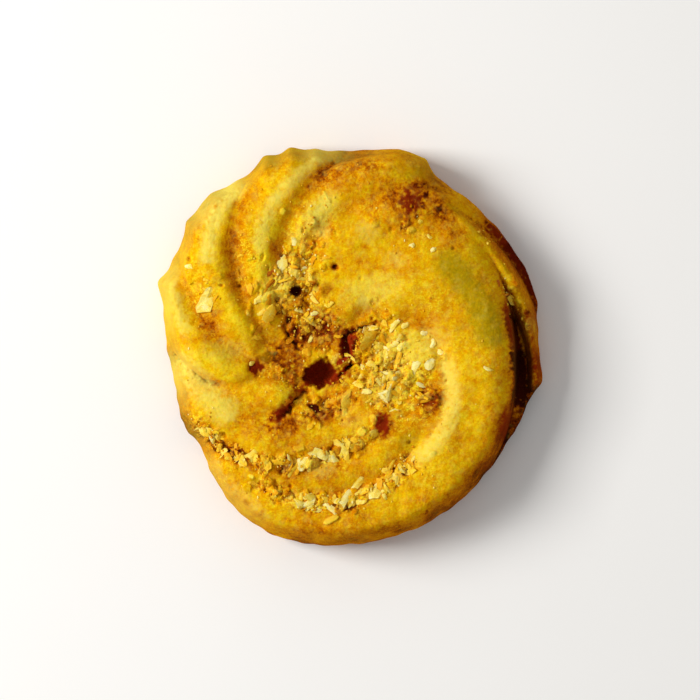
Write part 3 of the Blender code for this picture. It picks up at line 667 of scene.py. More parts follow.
oliveness = {  # painted shade: greenish brown on the shaded shoulders
    "leftEdge": 0.75,
    "patches": (
        (8.8, 26.2, 4.5, 1.3, 0, 0.35), (8.5, -14.0, 2.4, 1.2, 35, 0.4), (-13.1, -1.4, 1.6, 1.1, 0, 0.4),
        (-16.7, 9.7, 0.9, 3.3, 0, 0.15), (-0.7, 18.7, 2.1, 1.5, 30, 0.3), (-7.4, 26.8, 1.8, 1.3, 0, 0.25),
        (-11.9, 26.8, 1.3, 2.1, 0, 0.25), (6.8, 7.0, 2.1, 1.2, 0, 0.15),
    ),
    "streaks": (
        ((14.0, 16.6, 19.2, 21.0), (21.6, 19.8, 17.4, 15.0), 0.4, 0.35),
        ((-14.5, -10.0, -5.0, 1.0), (26.4, 28.2, 28.8, 28.4), 1.2, 0.22),
        ((12.6, 17.2, 20.0, 21.2), (14.4, 9.6, 4.6, -1.0), 2.4, 0.85),
    ),
}
creaminess = {  # pale crests and flanks: unbaked dough, with painted light on the lit crests
    # painted light: crests paler than the grooves beside them
    "crest": 0.05,
    "crumb": 0.7,
    "leftRim": 0.40,
    "patches": (
        (3.4, 8.6, 5.0, 2.4, 10, 0.42), (8.0, -0.8, 4.5, 3.5, 0, 0.45), (5.3, -5.8, 3.4, 3.0, 0, 0.40),
        (-10.4, 9.3, 3.0, 4.2, -25, 0.35), (12.8, 1.0, 2.5, 2.5, 0, 0.35),
        (-3.8, 20.6, 1.8, 3.2, -35, 0.5), (-26.0, 16.0, 0.9, 1.5, 0, 0.4),
        (-21.7, 19.7, 2.4, 1.2, 45, 0.45), (-18.5, 23.2, 2.4, 0.9, 30, 0.6),
        (-28.4, 8.5, 0.9, 1.8, 0, 0.5), (-2.9, 28.3, 3.3, 0.9, 8, 0.5),
        (-13.1, -24.8, 1.5, 0.8, -40, 0.25), (0.4, -11.0, 2.1, 1.8, 0, 0.2),
        (3.4, 16.0, 1.8, 1.2, 0, 0.15), (-4.4, 17.6, 1.6, 1.6, 0, 0.5), (2.3, 17.4, 1.8, 1.4, 0, 0.35),
        (6.8, 13.0, 1.6, 1.4, 0, 0.35), (-11.2, 8.6, 1.8, 1.8, 0, 0.5), (2.4, 6.3, 1.6, 1.3, 0, 0.3),
        (-4.4, -17.6, 2.0, 2.0, 0, 0.4), (-18.5, -0.6, 3.2, 1.6, 0, 0.35),
    ),
    "streaks": (
        ((-15.2, -19.2, -21.0, -21.4), (24.8, 20.6, 16.0, 11.8), 1.2, 0.85),
        ((-26.6, -26.6, -25.6, -24.2), (12.7, 9.1, 5.2, 1.3), 1.1, 0.65),
        ((-2.6, -9.5, -12.7, -13.4), (29.2, 23.8, 18.7, 13.6), 1.1, 0.65),
        ((-26.6, -23.5, -20.0, -16.7), (-0.5, -4.7, -8.3, -10.7), 2.1, 0.75),
        ((14.4, 15.2, 14.2, 8.2), (-1.0, -6.6, -12.2, -17.8), 1.4, 0.75),
        ((-21.5, -19.7, -17.0, -13.1), (-15.8, -19.1, -21.8, -24.8), 1.2, 0.35),
        ((-2.9, -5.3, -7.1, -8.0), (22.0, 19.9, 17.2, 14.5), 1.5, 0.35),
    ),
}

mottling = {  # how strongly lemon and orange show side by side
    "ground": 0.32,
    "crumbly": 0.59,
    "places": (  # x, y, half sizes, turn, amount
        (-15.0, 14.0, 2.0, 7.0, -15.0, 0.5), (-7.0, 17.0, 4.0, 5.0, -30.0, 0.5),
        (5.0, 7.0, 8.0, 3.0, 10.0, 0.3), (-22.0, 9.0, 2.5, 6.0, 0.0, 0.35),
        (10.0, -5.0, 8.0, 9.0, 0.0, 0.4), (-10.0, -5.0, 5.0, 4.0, 0.0, 0.3),
    ),
}


def marks(kind, broken):
    # All patches and streaks of one kind, each broken up by noise at its border.
    total = np.zeros_like(gridX)
    for x, y, halfX, halfY, turn, amount in kind["patches"]:
        total = total + amount * rise(blob(x, y, halfX, halfY, turn) * broken, 0.08, 0.85)
    for lineX, lineY, half, amount in kind["streaks"]:
        total = total + amount * rise(strip(lineX, lineY, half) * broken, 0.05, 0.95)
    return total


def towards(angle):
    # One on this side of the biscuit and nought on the other, as a raised cosine.
    return 0.5 + 0.5 * np.cos(np.radians(wrapAngle(gridAngle - angle)))


# What several colours share: how deep the form lies below its surroundings, the ragged
# borders of marks, the shaded side, the left side, and the part away from the border.
belowField = softenedInside(baseField, 2.0) - baseField
brokenField = 0.97 + 0.20 * bandNoise(0.9, 41) + 0.12 * bandNoise(0.4, 45)
shadedSide = towards(-32.0)
leftSide = towards(150.0) ** 3
innerField = rise(gridInset, 1.6, 4.6)
middleField = blob(-4.2, 2.2, 4.6, 5.4, 0.0)


def toastAndShadeAmount():
    # The ground value; painted shade below the surroundings, in dips between crumbs and on slopes
    # facing right; browning and painted shade along the border and in the marks; three scales of noise.
    near = softened(heightField, 0.3) - heightField
    toast = browningAndShade["ground"] + browningAndShade["valley"] * np.clip(belowField, -0.8, 1.3) * innerField
    toast = toast + browningAndShade["crumbDip"] * np.clip(near, -0.25, 0.5)
    border = (1.0 - rise(gridInset, 0.2, 2.8)) * np.clip(0.3 + 0.7 * brokenField, 0.0, 1.6)
    toast = toast + (browningAndShade["edge"] + browningAndShade["shadedEdge"] * shadedSide**2) * border
    toast = toast + browningAndShade["leftEdge"] * leftSide * (1.0 - rise(gridInset, 0.2, 2.0))
    toast = toast + browningAndShade["marks"] * marks(browningAndShade, brokenField)
    toast = toast + 0.035 * bandNoise(5.0, 42) + 0.04 * bandNoise(1.5, 43) + 0.03 * bandNoise(0.45, 46)
    toast = toast + browningAndShade["crumbTone"] * tintField + browningAndShade["gap"] * gapField
    toast = toast + browningAndShade["lee"] * leeField
    return toast + browningAndShade["middle"] * middleField * rise(crumbly, 0.1, 0.6)


def rustAndShadeAmount():
    # The marks, plus painted shade in the gaps between crumbs and on the deep floor of pit and cracks.
    gaps = (rustAndShadeMarks["gap"] + rustAndShadeMarks["middleGap"] * middleField) * gapField * rise(crumbly, 0.5, 1.0)
    return marks(rustAndShadeMarks, brokenField) + gaps + (1.0 - rise(baseField, 4.8, 6.9)) * (gridRadius < 20.0)


def oliveAmount(burnt):
    # Painted shade: the marks, plus a band along the left edge; none where the dough is burnt.
    band = oliveness["leftEdge"] * leftSide * (1.0 - rise(gridInset, 0.5, 3.0))
    return (marks(oliveness, 0.5 + 0.5 * brokenField) + band) * (1.0 - burnt)


def creamAmount(burnt):
    # The marks, plus painted light on crests, pale crumbs and two scales of noise, less painted
    # shade on the slopes that face right; an even share along the left rim; none where the dough is burnt.
    crests = np.clip(-belowField, 0.0, 0.8) * innerField
    cream = marks(creaminess, brokenField) + creaminess["crest"] * crests
    cream = cream + creaminess["crumb"] * np.clip(-tintField - 0.30, 0.0, 1.0)
    cream = cream + 0.05 * bandNoise(0.6, 47) + 0.06 * bandNoise(1.6, 48)
    leftRim = leftSide * (1.0 - rise(gridInset, 0.6, 2.6))
    cream = cream * (1.0 - 0.6 * leeField) * (1.0 - 0.75 * leftRim) + creaminess["leftRim"] * leftRim
    return cream * (1.0 - burnt)


def mottleAmount(toast):
    # The ground value, more where the dough is crumbly and in the mottled places, less where the
    # dough is dark, and less as painted shade on slopes that face right and near the shaded border.
    mottle = mottling["ground"] + mottling["crumbly"] * rise(crumbly, 0.1, 0.7) + 0.10 * bandNoise(6.0, 49)
    for x, y, halfX, halfY, turn, amount in mottling["places"]:
        mottle = mottle + amount * blob(x, y, halfX, halfY, turn)
    mottle = mottle * (1.0 - 0.6 * leeField) * (1.0 - rise(toast, 0.5, 0.8))
    return mottle * (1.0 - 0.6 * shadedSide * (1.0 - rise(gridInset, 1.0, 4.0)))


def colourFields():
    # The five amounts, each held between nought and a little over one.
    toast = toastAndShadeAmount()
    burnt = rise(toast, 0.85, 1.15)
    fields = (toast, rustAndShadeAmount(), oliveAmount(burnt), creamAmount(burnt), mottleAmount(toast))
    return [np.clip(field, 0.0, 1.2) for field in fields]


toastAndShadeField, rustAndShadeField, oliveField, creamField, mottleField = colourFields()
report("browning worked out")

# The dough as one closed skin.

skin = {
    "cells": 400,
    "edgeCrowding": 1.22,
    "sideRows": 9,
    "baseRows": 8,
    "sideGrain": 0.07,
    "footToast": 0.12,  # browner towards the foot
    "shadeToast": 0.20,  # painted shade on steep parts away from the light
    "shadeAngle": -28.0,  # where that is, in degrees about the pole
    "cloudToast": 0.10,
    "patches": ((2.6, 74, 0.14), (1.0, 75, 0.10), (0.5, 76, 0.06)),  # size, seed, toast
    "baseToast": 0.46,
    "baseClouds": 0.12,
}


def squareToDisc(u, v):
    # A square turned into a disc: the larger of the two becomes the radius, and their
    # ratio times an eighth of a turn becomes the angle.
    wide = np.abs(u) > np.abs(v)
    radius = np.where(wide, u, v)
    safe = np.where(radius == 0.0, 1.0, radius)
    angle = np.where(wide, 0.25 * math.pi * v / safe, 0.5 * math.pi - 0.25 * math.pi * u / safe)
    return radius * np.cos(angle), radius * np.sin(angle)


def skinPoints():
    # The square grid becomes the top out to the outline, its border then runs down and
    # inwards as a quarter ellipse to the foot, and on over the flat base to one last point.
    cells = skin["cells"]
    line = np.linspace(-1.0, 1.0, cells + 1)
    u, v = np.meshgrid(line, line)
    discX, discY = squareToDisc(u, v)
    spread = np.hypot(discX, discY)
    angle = np.arctan2(discY, discX)
    edge = outlineRadius(np.degrees(angle))
    radius = edge * (1.0 - (1.0 - np.clip(spread, 0.0, 1.0)) ** skin["edgeCrowding"])
    x, y = aroundPole(radius, angle)
    z = doughHeight(x, y) + sample(reliefField, x, y)
    top = np.stack([x, y, z], axis=2).reshape(-1, 3)
    index = np.arange((cells + 1) ** 2).reshape(cells + 1, cells + 1)
    border = np.concatenate([index[0, :-1], index[:-1, -1], index[-1, :0:-1], index[:0:-1, 0]])
    turn = angle.reshape(-1)[border]
    edge = outlineRadius(np.degrees(turn))[:, None]
    drop = np.radians(np.linspace(0.0, 90.0, skin["sideRows"] + 1)[1:])[None, :]
    sideRadius = edge - swirl["footTuck"] * (1.0 - np.cos(drop))
    sideHeight = np.broadcast_to(swirl["footHeight"] * (1.0 - np.sin(drop)), sideRadius.shape)
    inward = np.linspace(1.0, 0.0, skin["baseRows"] + 2)[1:-1][None, :]
    baseRadius = (edge - swirl["footTuck"]) * inward
    ringRadius = np.concatenate([sideRadius, baseRadius], axis=1)
    ringHeight = np.concatenate([sideHeight, np.zeros_like(baseRadius)], axis=1)
    rings = np.stack([*aroundPole(ringRadius, turn[:, None]), ringHeight], axis=2)
    last = np.array([[*swirl["pole"], 0.0]])
    points = np.concatenate([top, rings.transpose(1, 0, 2).reshape(-1, 3), last])
    return points, index, border


def skinFaces(index, border):
    # Quads over the square grid, quads between neighbouring rings, and a last fan of triangles.
    quads = np.stack([index[:-1, :-1], index[:-1, 1:], index[1:, 1:], index[1:, :-1]], axis=2)
    quads = quads.reshape(-1, 4)
    count = len(border)
    rows = skin["sideRows"] + skin["baseRows"]
    ring = index.size + np.arange(rows * count).reshape(rows, count)
    loops = np.concatenate([border[None, :], ring])
    after = np.roll(loops, -1, axis=1)
    walls = np.stack([loops[:-1], loops[1:], after[1:], after[:-1]], axis=2).reshape(-1, 4)
    last = index.size + rows * count
    fan = np.stack([loops[-1], np.full(count, last), after[-1]], axis=1)
    return np.concatenate([quads, walls]), fan


def latticeNoise(points, size, seed):
    # Random values at the corners of a cubic lattice, eased and blended to each point.
    rng = np.random.default_rng(seed)
    table = rng.uniform(-1.0, 1.0, (64, 64, 64))
    cell = points / size
    low = np.floor(cell).astype(int)
    part = cell - low
    part = part * part * (3.0 - 2.0 * part)
    total = np.zeros(len(points))
    for i in (0, 1):
        for j in (0, 1):
            for k in (0, 1):
                share = np.abs(np.array((1 - i, 1 - j, 1 - k)) - part)
                weight = share[:, 0] * share[:, 1] * share[:, 2]
                corner = (low[:, 0] + i) % 64, (low[:, 1] + j) % 64, (low[:, 2] + k) % 64
                total = total + weight * table[corner]
    return total


def newPiece(name, points, faces, attributes, material, smooth=True):
    # Points in millimetres become a mesh in metres, with one number per point for each
    # named attribute.
    mesh = bpy.data.meshes.new(name)
    mesh.from_pydata((points * millimetre).tolist(), [], faces)
    for attributeName, values in attributes.items():
        layer = mesh.attributes.new(attributeName, "FLOAT", "POINT")
        layer.data.foreach_set("value", np.asarray(values, dtype=np.float32))
    mesh.polygons.foreach_set("use_smooth", np.full(len(mesh.polygons), smooth))
    mesh.materials.append(material)
    mesh.update()
    piece = bpy.data.objects.new(name, mesh)
    bpy.context.scene.collection.objects.link(piece)
    return piece


# Materials.

class Recipe:
    # Builds a material's nodes one after another and joins them by name.
    def __init__(self, name):
        self.material = bpy.data.materials.new(name)
        self.material.use_nodes = True
        self.tree = self.material.node_tree
        self.shader = self.tree.nodes["Principled BSDF"]

    def add(self, kind, settings=None, links=None):
        # One node with its settings, or fixed inputs, by name, and its linked inputs.
        node = self.tree.nodes.new(kind)
        for key, value in (settings or {}).items():
            if key in node.inputs.keys():
                node.inputs[key].default_value = value
            else:
                setattr(node, key, value)
        for key, source in (links or {}).items():
            self.tree.links.new(source, node.inputs[key])
        return node

    def place(self):
        # The place on the piece, so that patterns don't stretch.
        return self.add("ShaderNodeTexCoord").outputs["Object"]

    def finish(self, colour, look, normal):
        # Joins colour and bump to the shader and sets how it shines and lets light in.
        self.tree.links.new(colour, self.shader.inputs["Base Color"])
        self.tree.links.new(normal, self.shader.inputs["Normal"])
        self.shader.inputs["Roughness"].default_value = look["roughness"]
        self.shader.inputs["Specular IOR Level"].default_value = look["specular"]
        self.shader.inputs["Subsurface Weight"].default_value = look["subsurface"]
        self.shader.inputs["Subsurface Scale"].default_value = look["spread"] * millimetre
        self.shader.inputs["Subsurface Radius"].default_value = look["glow"]
        return self.material

    def number(self, name):
        # The number that the mesh holds under this name.
        return self.add("ShaderNodeAttribute", {"attribute_name": name}).outputs["Fac"]

    def noise(self, place, size, detail=3.0, roughness=0.55):
        # Noise whose features are this many millimetres across.
        settings = {"Scale": 1.0 / (size * millimetre), "Detail": detail, "Roughness": roughness}
        return self.add("ShaderNodeTexNoise", settings, {"Vector": place}).outputs["Fac"]

    def sum(self, first, second, gain=1.0):
        # The first number, which may be a plain one, plus gain times the second.
        node = self.add("ShaderNodeMath", {"operation": "MULTIPLY_ADD"})
        self.tree.links.new(second, node.inputs[0])
        node.inputs[1].default_value = gain
        if isinstance(first, float):
            node.inputs[2].default_value = first
        else:
            self.tree.links.new(first, node.inputs[2])
        return node.outputs[0]

    def times(self, first, second):
        # The two multiplied and held between nought and one.
        node = self.add("ShaderNodeMath", {"operation": "MULTIPLY", "use_clamp": True})
        self.tree.links.new(first, node.inputs[0])
        self.tree.links.new(second, node.inputs[1])
        return node.outputs[0]

    def ramp(self, source, stops):
        # The number turned into a colour between the stops on either side of it.
        node = self.add("ShaderNodeValToRGB", None, {"Fac": source})
        ramp = node.color_ramp
        while len(ramp.elements) < len(stops):
            ramp.elements.new(0.5)
        for element, (place, colour) in zip(ramp.elements, stops):
            element.position = place
            element.color = (*colour, 1.0)
        return node.outputs["Color"]

    def mix(self, share, first, second):
        # The first colour, and the second by its share. Plain colours may be given.
        node = self.add("ShaderNodeMix", {"data_type": "RGBA"})
        node.blend_type = "MIX"
        for socket, source in ((node.inputs[0], share), (node.inputs[6], first), (node.inputs[7], second)):
            if isinstance(source, tuple):
                socket.default_value = (*source, 1.0)
            elif isinstance(source, float):
                socket.default_value = source
            else:
                self.tree.links.new(source, socket)
        return node.outputs[2]

    def bump(self, height, distance, strength):
        # Shading as if the surface rose by this many millimetres where the height is one.
        settings = {"Strength": strength, "Distance": distance * millimetre}
        return self.add("ShaderNodeBump", settings, {"Height": height}).outputs["Normal"]


doughLook = {
    "stops": (
        (0.00, (0.90, 0.68, 0.020)),
        (0.18, (0.85, 0.54, 0.003)),
        (0.34, (0.77, 0.395, 0.0015)),
        (0.50, (0.68, 0.25, 0.0012)),
        (0.66, (0.48, 0.125, 0.0012)),
        (0.82, (0.23, 0.038, 0.0014)),
        (1.00, (0.05, 0.006, 0.0018)),
    ),
    "cream": (0.86, 0.685, 0.10),
    "lemon": (0.93, 0.70, 0.025),  # the two tones of the mottling
    "orange": (0.72, 0.28, 0.001),
    "contrast": (4.4, 4.2),  # of the mottling's large and small spots
    "rust": (0.27, 0.022, 0.003),
    "olive": (0.42, 0.28, 0.003),
    "blotches": 0.30,  # how strongly the coarse noise lightens and darkens
    "speckle": 0.46,  # and the finest noise
    "roughness": 0.8,
    "specular": 0.0,
    "subsurface": 0.25,
    "spread": 0.9,  # how far light travels in the dough, in millimetres
    "glow": (1.0, 0.5, 0.1),  # its share of that way for red, green and blue
    "bump": (0.11, 0.9),  # height in millimetres and strength
}


def buildDoughMaterial():
    # The browning and painted shade plus noise at three sizes picks a colour from pale crust to
    # burnt. Where the dough is mottled, a patchy noise turns it lemon on one side of nought and
    # orange on the other. Then olive (painted shade), cream (partly painted light) and rust (partly
    # painted shade) are mixed in by their own attributes, broken up by noise; a bump adds grain
    # finer than the mesh.
    recipe = Recipe("bakedCrust")
    place = recipe.place()
    coarse = recipe.noise(place, 1.2, 4.0)
    grains = recipe.noise(place, 0.32, 3.0, 0.6)
    fine = recipe.noise(place, 0.13, 1.0)
    toast = recipe.sum(recipe.number("toast"), coarse, doughLook["blotches"])
    toast = recipe.sum(toast, grains, doughLook["speckle"])
    toast = recipe.sum(toast, fine, 0.8 * doughLook["speckle"])
    toast = recipe.sum(-0.5 * (doughLook["blotches"] + 1.8 * doughLook["speckle"]), toast)
    colour = recipe.ramp(toast, doughLook["stops"])
    large, small = doughLook["contrast"]
    patchy = recipe.sum(-0.5 * (large + small), recipe.noise(place, 0.8, 3.0), large)
    patchy = recipe.sum(patchy, recipe.noise(place, 0.24, 2.0), small)
    mottle = recipe.number("mottle")
    colour = recipe.mix(recipe.times(mottle, recipe.sum(0.0, patchy, 1.0)), colour, doughLook["lemon"])
    colour = recipe.mix(recipe.times(mottle, recipe.sum(0.0, patchy, -1.0)), colour, doughLook["orange"])
    uneven = recipe.sum(recipe.sum(0.1, coarse, 0.8), grains, 1.0)
    colour = recipe.mix(recipe.times(recipe.number("olive"), uneven), colour, doughLook["olive"])
    colour = recipe.mix(recipe.times(recipe.number("cream"), uneven), colour, doughLook["cream"])
    colour = recipe.mix(recipe.times(recipe.number("rust"), uneven), colour, doughLook["rust"])
    height = recipe.sum(recipe.noise(place, 0.4, 4.0, 0.62), fine, 0.5)
    return recipe.finish(colour, doughLook, recipe.bump(height, *doughLook["bump"]))


crust = buildDoughMaterial()
points, index, border = skinPoints()
quads, fan = skinFaces(index, border)
onTop = np.arange(len(points)) < index.size
under = points[:, 2] < 0.01
side = ~onTop & ~under
far, turn = fromPole(points[:, 0], points[:, 1])
slopeField = np.hypot(*np.gradient(baseField, plan["step"])) * (gridInset > 0.0) + 9.0 * (gridInset <= 0.0)
steep = rise(sample(slopeField, points[:, 0], points[:, 1]), 1.0, 2.6) * rise(far, 12.0, 15.0)
steep = np.where(onTop, steep, 1.0)


def atPoints(field):
    # The field at each point, and on steep parts the blurred field, which leaves no streaks.
    sharp = sample(field, points[:, 0], points[:, 1])
    blurred = sample(softenedInside(field, 0.9), points[:, 0], points[:, 1])
    return sharp + steep * (blurred - sharp)


# Steep parts get painted shade away from the light, are browner towards the foot, and are
# uneven by noise in three dimensions. Cream, olive and rust fade out down the sides.
drop = np.clip(1.0 - points[:, 2] / swirl["footHeight"], 0.0, 1.0)
clouds = latticeNoise(points, 4.0, 71)
patches = sum(toast * latticeNoise(points, size, seed) for size, seed, toast in skin["patches"])
awayFromLight = (0.5 + 0.5 * np.cos(np.radians(turn - skin["shadeAngle"]))) ** 3
steepToastAndShade = skin["cloudToast"] * clouds + patches + skin["shadeToast"] * awayFromLight
# The toast attribute holds both browning and painted shade.
colours = {"toast": atPoints(toastAndShadeField) + skin["footToast"] * drop * side + steep * steepToastAndShade}
colours["toast"][under] = skin["baseToast"] + skin["baseClouds"] * clouds[under] + patches[under]
colours["cream"] = atPoints(creamField) * (0.5 + 0.5 * rise(points[:, 2], 1.0, 6.0)) * ~under
colours["rust"] = atPoints(rustAndShadeField) * rise(points[:, 2], 0.5, 4.0)
colours["olive"] = atPoints(oliveField) * (0.3 + 0.7 * rise(points[:, 2], 2.0, 7.0)) * ~under
colours["mottle"] = atPoints(mottleField)
# The sides get a grain by a small push outwards or inwards.
push = skin["sideGrain"] * (latticeNoise(points, 0.8, 72) + 1.6 * latticeNoise(points, 2.4, 73)) * side
outwards = (points[:, :2] - np.array(swirl["pole"])) / np.maximum(far, 1.0)[:, None]
points[:, :2] += push[:, None] * outwards
biscuit = newPiece("bakedBiscuit", points, quads.tolist() + fan.tolist(), colours, crust)
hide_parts("biscuit")
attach(biscuit, "root")
report("biscuit: %d triangles" % (2 * len(quads) + len(fan)))

# Coconut shreds.

# Shreds that stand out: x, y, length, width, turn, toast.
bigShreds = (
    (-21.4, 7.0, 3.6, 2.1, 75, 0.1), (-10.1, 12.7, 3.1, 1.6, 85, 0.0), (-10.9, 8.0, 3.6, 1.2, -10, 0.1),
    (-11.9, 4.9, 2.7, 1.8, 60, 0.05), (-5.3, 5.0, 1.2, 0.9, 0, 0.0), (-13.7, 7.0, 1.3, 1.1, 20, 0.1),
    (-21.5, -12.7, 1.9, 1.8, 10, 0.25), (-19.7, -13.3, 1.3, 1.2, 60, 0.2),
    (-14.9, -16.6, 3.8, 1.8, 35, 0.2), (-12.4, -17.2, 2.5, 1.3, -62, 0.35),
    (-7.1, -17.5, 2.2, 1.8, 80, 0.05), (-4.7, -15.8, 3.3, 1.5, -20, 0.0),
    (-2.9, -16.9, 2.5, 1.5, -30, 0.05), (-1.0, -15.7, 4.5, 1.6, -62, 0.1),
    (1.0, -14.9, 1.9, 1.5, 20, 0.2), (3.5, -13.1, 1.8, 1.3, 40, 0.15), (-7.3, -23.5, 1.6, 1.3, 0, 0.1),
    (-5.6, -22.9, 2.2, 1.5, -60, 0.2), (-2.8, -24.1, 3.6, 1.2, -40, 0.0), (-2.2, -22.9, 1.2, 1.1, 0, 0.1),
    (-0.4, -22.3, 3.3, 1.2, 55, 0.0), (1.3, -20.3, 2.9, 1.3, 50, 0.0), (3.8, -21.4, 2.5, 1.9, 70, 0.1),
    (6.4, -19.3, 1.9, 1.3, 30, 0.2), (7.7, -18.2, 1.6, 0.9, -50, 0.15), (5.3, -18.5, 1.5, 1.1, 0, 0.2),
    (-9.2, -22.7, 1.3, 1.1, 0, 0.2), (2.8, 0.8, 2.9, 2.2, 70, 0.3), (4.4, -0.1, 1.8, 1.5, 0, 0.25),
    (9.7, -2.8, 3.8, 1.1, 72, 0.0), (12.2, -2.6, 2.1, 1.6, 30, 0.0), (11.2, 2.0, 1.5, 0.9, 10, 0.0),
    (12.4, 0.4, 1.3, 0.9, 60, 0.0), (5.9, -6.8, 2.5, 0.9, 75, 0.0), (2.5, -6.7, 1.5, 1.1, 0, 0.05),
    (-0.5, -8.5, 2.2, 1.8, 50, 0.3), (7.6, 0.1, 1.5, 1.1, 30, 0.05), (3.4, -2.9, 1.8, 1.2, -40, 0.2),
    (7.0, -4.4, 1.6, 1.1, 60, 0.0), (1.1, -5.6, 1.6, 1.2, 0, 0.25), (13.6, -0.8, 1.2, 0.8, 0, 0.05),
    (8.3, 3.2, 1.3, 0.9, 20, 0.05), (24.1, 7.3, 2.2, 0.9, -62, 0.2), (-14.6, -2.5, 0.9, 0.7, 20, 0.0),
    (-9.5, -8.3, 1.3, 0.9, 40, 0.2), (20.6, -3.4, 1.5, 0.6, -20, 0.0), (12.5, 14.5, 1.1, 0.6, 30, 0.0),
    (9.2, 15.1, 0.9, 0.6, 0, 0.0), (-7.0, 14.5, 1.5, 1.1, 60, 0.1), (-8.0, 10.9, 1.8, 1.2, -40, 0.15),
    (-9.2, 1.0, 1.5, 1.2, 20, 0.45), (-6.7, -0.8, 1.6, 1.2, 0, 0.4),
)
shreds = {
    "stations": 5,
    "corners": 6,
    "thickness": 0.45,
    "belts": (  # start and end angle, radii, spread, how many
        (208, 296, (20.6, 17.4, 13.9, 12.6), 0.9, 16),
        (246, 306, (20.3, 20.8, 20.4, 19.3), 0.9, 12),
        (-38, 42, (12.4, 12.6, 12.0, 10.6), 3.4, 8),
        (96, 160, (13.8, 14.4, 14.0, 9.0), 2.2, 12),
    ),
    "seed": 417,
    "smallCount": 150,
    "smallLength": (0.8, 2.2),
    "smallWidth": (0.4, 0.9),
    "smallThickness": 0.30,
    "sink": -0.02,
    "shadeToast": 0.45,  # painted shade where the dough itself faces right
    "paintedLeeShade": 0.55,  # painted shade on the side that faces away from the light
    "leeWay": (0.75, -0.16, -0.64),
}


def shredPlaces():
    # The named big ones, then one draw for each step along the belts, then small ones
    # drawn where the surface is crumbly. Columns: x, y, length, width, turn, toast, thickness.
    rng = np.random.default_rng(shreds["seed"])
    rows = [(*row, shreds["thickness"] * 1.2) for row in bigShreds]
    for start, end, radii, spread, count in shreds["belts"]:
        for place in range(count):
            share = np.array([(place + rng.uniform(0.15, 0.85)) / count])
            angle = start + (end - start) * share[0]
            radius = along(radii, share)[0] + rng.uniform(-spread, spread)
            x, y = aroundPole(radius, math.radians(angle))
            length, width, turn = rng.uniform(1.2, 2.4), rng.uniform(0.7, 1.1), rng.uniform(0.0, 180.0)
            rows.append((x, y, length, width, turn, rng.uniform(0.0, 0.6), shreds["thickness"]))
    rng = np.random.default_rng(shreds["seed"] + 5)
    chance = (crumbly**1.6 * (heightField > 7.0)).ravel()
    cells = rng.choice(chance.size, shreds["smallCount"], p=chance / chance.sum())
    for cell in cells:
        row, column = divmod(int(cell), gridX.shape[1])
        length, width = rng.uniform(*shreds["smallLength"]), rng.uniform(*shreds["smallWidth"])
        turn, toast = rng.uniform(0.0, 180.0), rng.uniform(0.0, 0.6)
        x, y = gridX[row, column], gridY[row, column]
        rows.append((x, y, length, width, turn, toast, shreds["smallThickness"]))
    rows = np.array(rows)
    # Painted shade: shreds on dough that faces away from the light are made darker.
    rows[:, 5] += shreds["shadeToast"] * sample(leeField, rows[:, 0], rows[:, 1])
    return rows


def shredShapes(rows, seed):
    # Each shred is a flat oval carried along a short path: the oval draws in to torn ends,
    # the path bows upwards and sideways, and the oval twists on its way.
    rng = np.random.default_rng(seed)
    count, stations, corners = len(rows), shreds["stations"], shreds["corners"]
    length, width, thick = rows[:, 2], rows[:, 3], rows[:, 6]
    way = np.linspace(-1.0, 1.0, stations)[None, :, None]
    around = (2.0 * math.pi * (np.arange(corners) + 0.5) / corners)[None, None, :]
    blunt = rng.uniform(0.45, 0.95, (count, 1, 1))
    girth = (1.0 - np.abs(way) ** 3.0) ** 0.5 * (1.0 - blunt) + blunt * (1.0 - 0.15 * way**2)
    girth = girth * rng.uniform(0.80, 1.20, (count, stations, 1))
    girth = girth * rng.uniform(0.78, 1.16, (count, stations, corners))
    lean = rng.uniform(-0.5, 0.5, (count, 1, 1))
    flatY = 0.5 * width[:, None, None] * girth * np.cos(around) * (1.0 + lean * way)
    flatZ = 0.5 * thick[:, None, None] * girth * np.sign(np.sin(around)) * np.abs(np.sin(around)) ** 0.7
    twist = rng.uniform(-0.45, 0.45, (count, 1, 1)) * way
    bow = length[:, None, None] * way**2
    localY = flatY * np.cos(twist) - flatZ * np.sin(twist) + rng.uniform(-0.12, 0.12, (count, 1, 1)) * bow
    localZ = flatY * np.sin(twist) + flatZ * np.cos(twist) + rng.uniform(-0.12, 0.05, (count, 1, 1)) * bow
    slant = rng.uniform(-0.6, 0.6, (count, 1, 1))
    torn = rng.uniform(-0.12, 0.12, (count, stations, corners))
    localX = 0.5 * length[:, None, None] * (way + torn) + slant * flatY
    return localX, localY, localZ


def layShapes(rows, localX, localY, localZ, sink, seed):
    # Each shape is tilted with the slope of the dough under it, turned about the upright
    # and set so that its middle is a little above the ground.
    rng = np.random.default_rng(seed)
    turn = np.radians(rows[:, 4])[:, None, None]
    c, s = np.cos(turn), np.sin(turn)
    reach = 0.35 * rows[:, 2]
    ground = sample(softened(heightField, 0.25), rows[:, 0], rows[:, 1])
    alongX, alongY = reach * np.cos(turn[:, 0, 0]), reach * np.sin(turn[:, 0, 0])
    fore = sample(heightField, rows[:, 0] + alongX, rows[:, 1] + alongY)
    back = sample(heightField, rows[:, 0] - alongX, rows[:, 1] - alongY)
    left = sample(heightField, rows[:, 0] - 0.5 * s[:, 0, 0], rows[:, 1] + 0.5 * c[:, 0, 0])
    right = sample(heightField, rows[:, 0] + 0.5 * s[:, 0, 0], rows[:, 1] - 0.5 * c[:, 0, 0])
    count = len(rows)
    pitch = np.clip((fore - back) / (2.0 * reach), -0.7, 0.7) + rng.uniform(-0.12, 0.20, count)
    roll = np.clip(left - right, -0.7, 0.7) + rng.uniform(-0.16, 0.16, count)
    pitch, roll = pitch[:, None, None], roll[:, None, None]
    ground = np.maximum(ground, 0.5 * (fore + back) - 0.3)[:, None, None]
    z = ground + sink + localZ + pitch * localX + roll * localY
    x = rows[:, 0][:, None, None] + c * localX - s * localY
    y = rows[:, 1][:, None, None] + s * localX + c * localY
    return np.stack([x, y, z], axis=3)


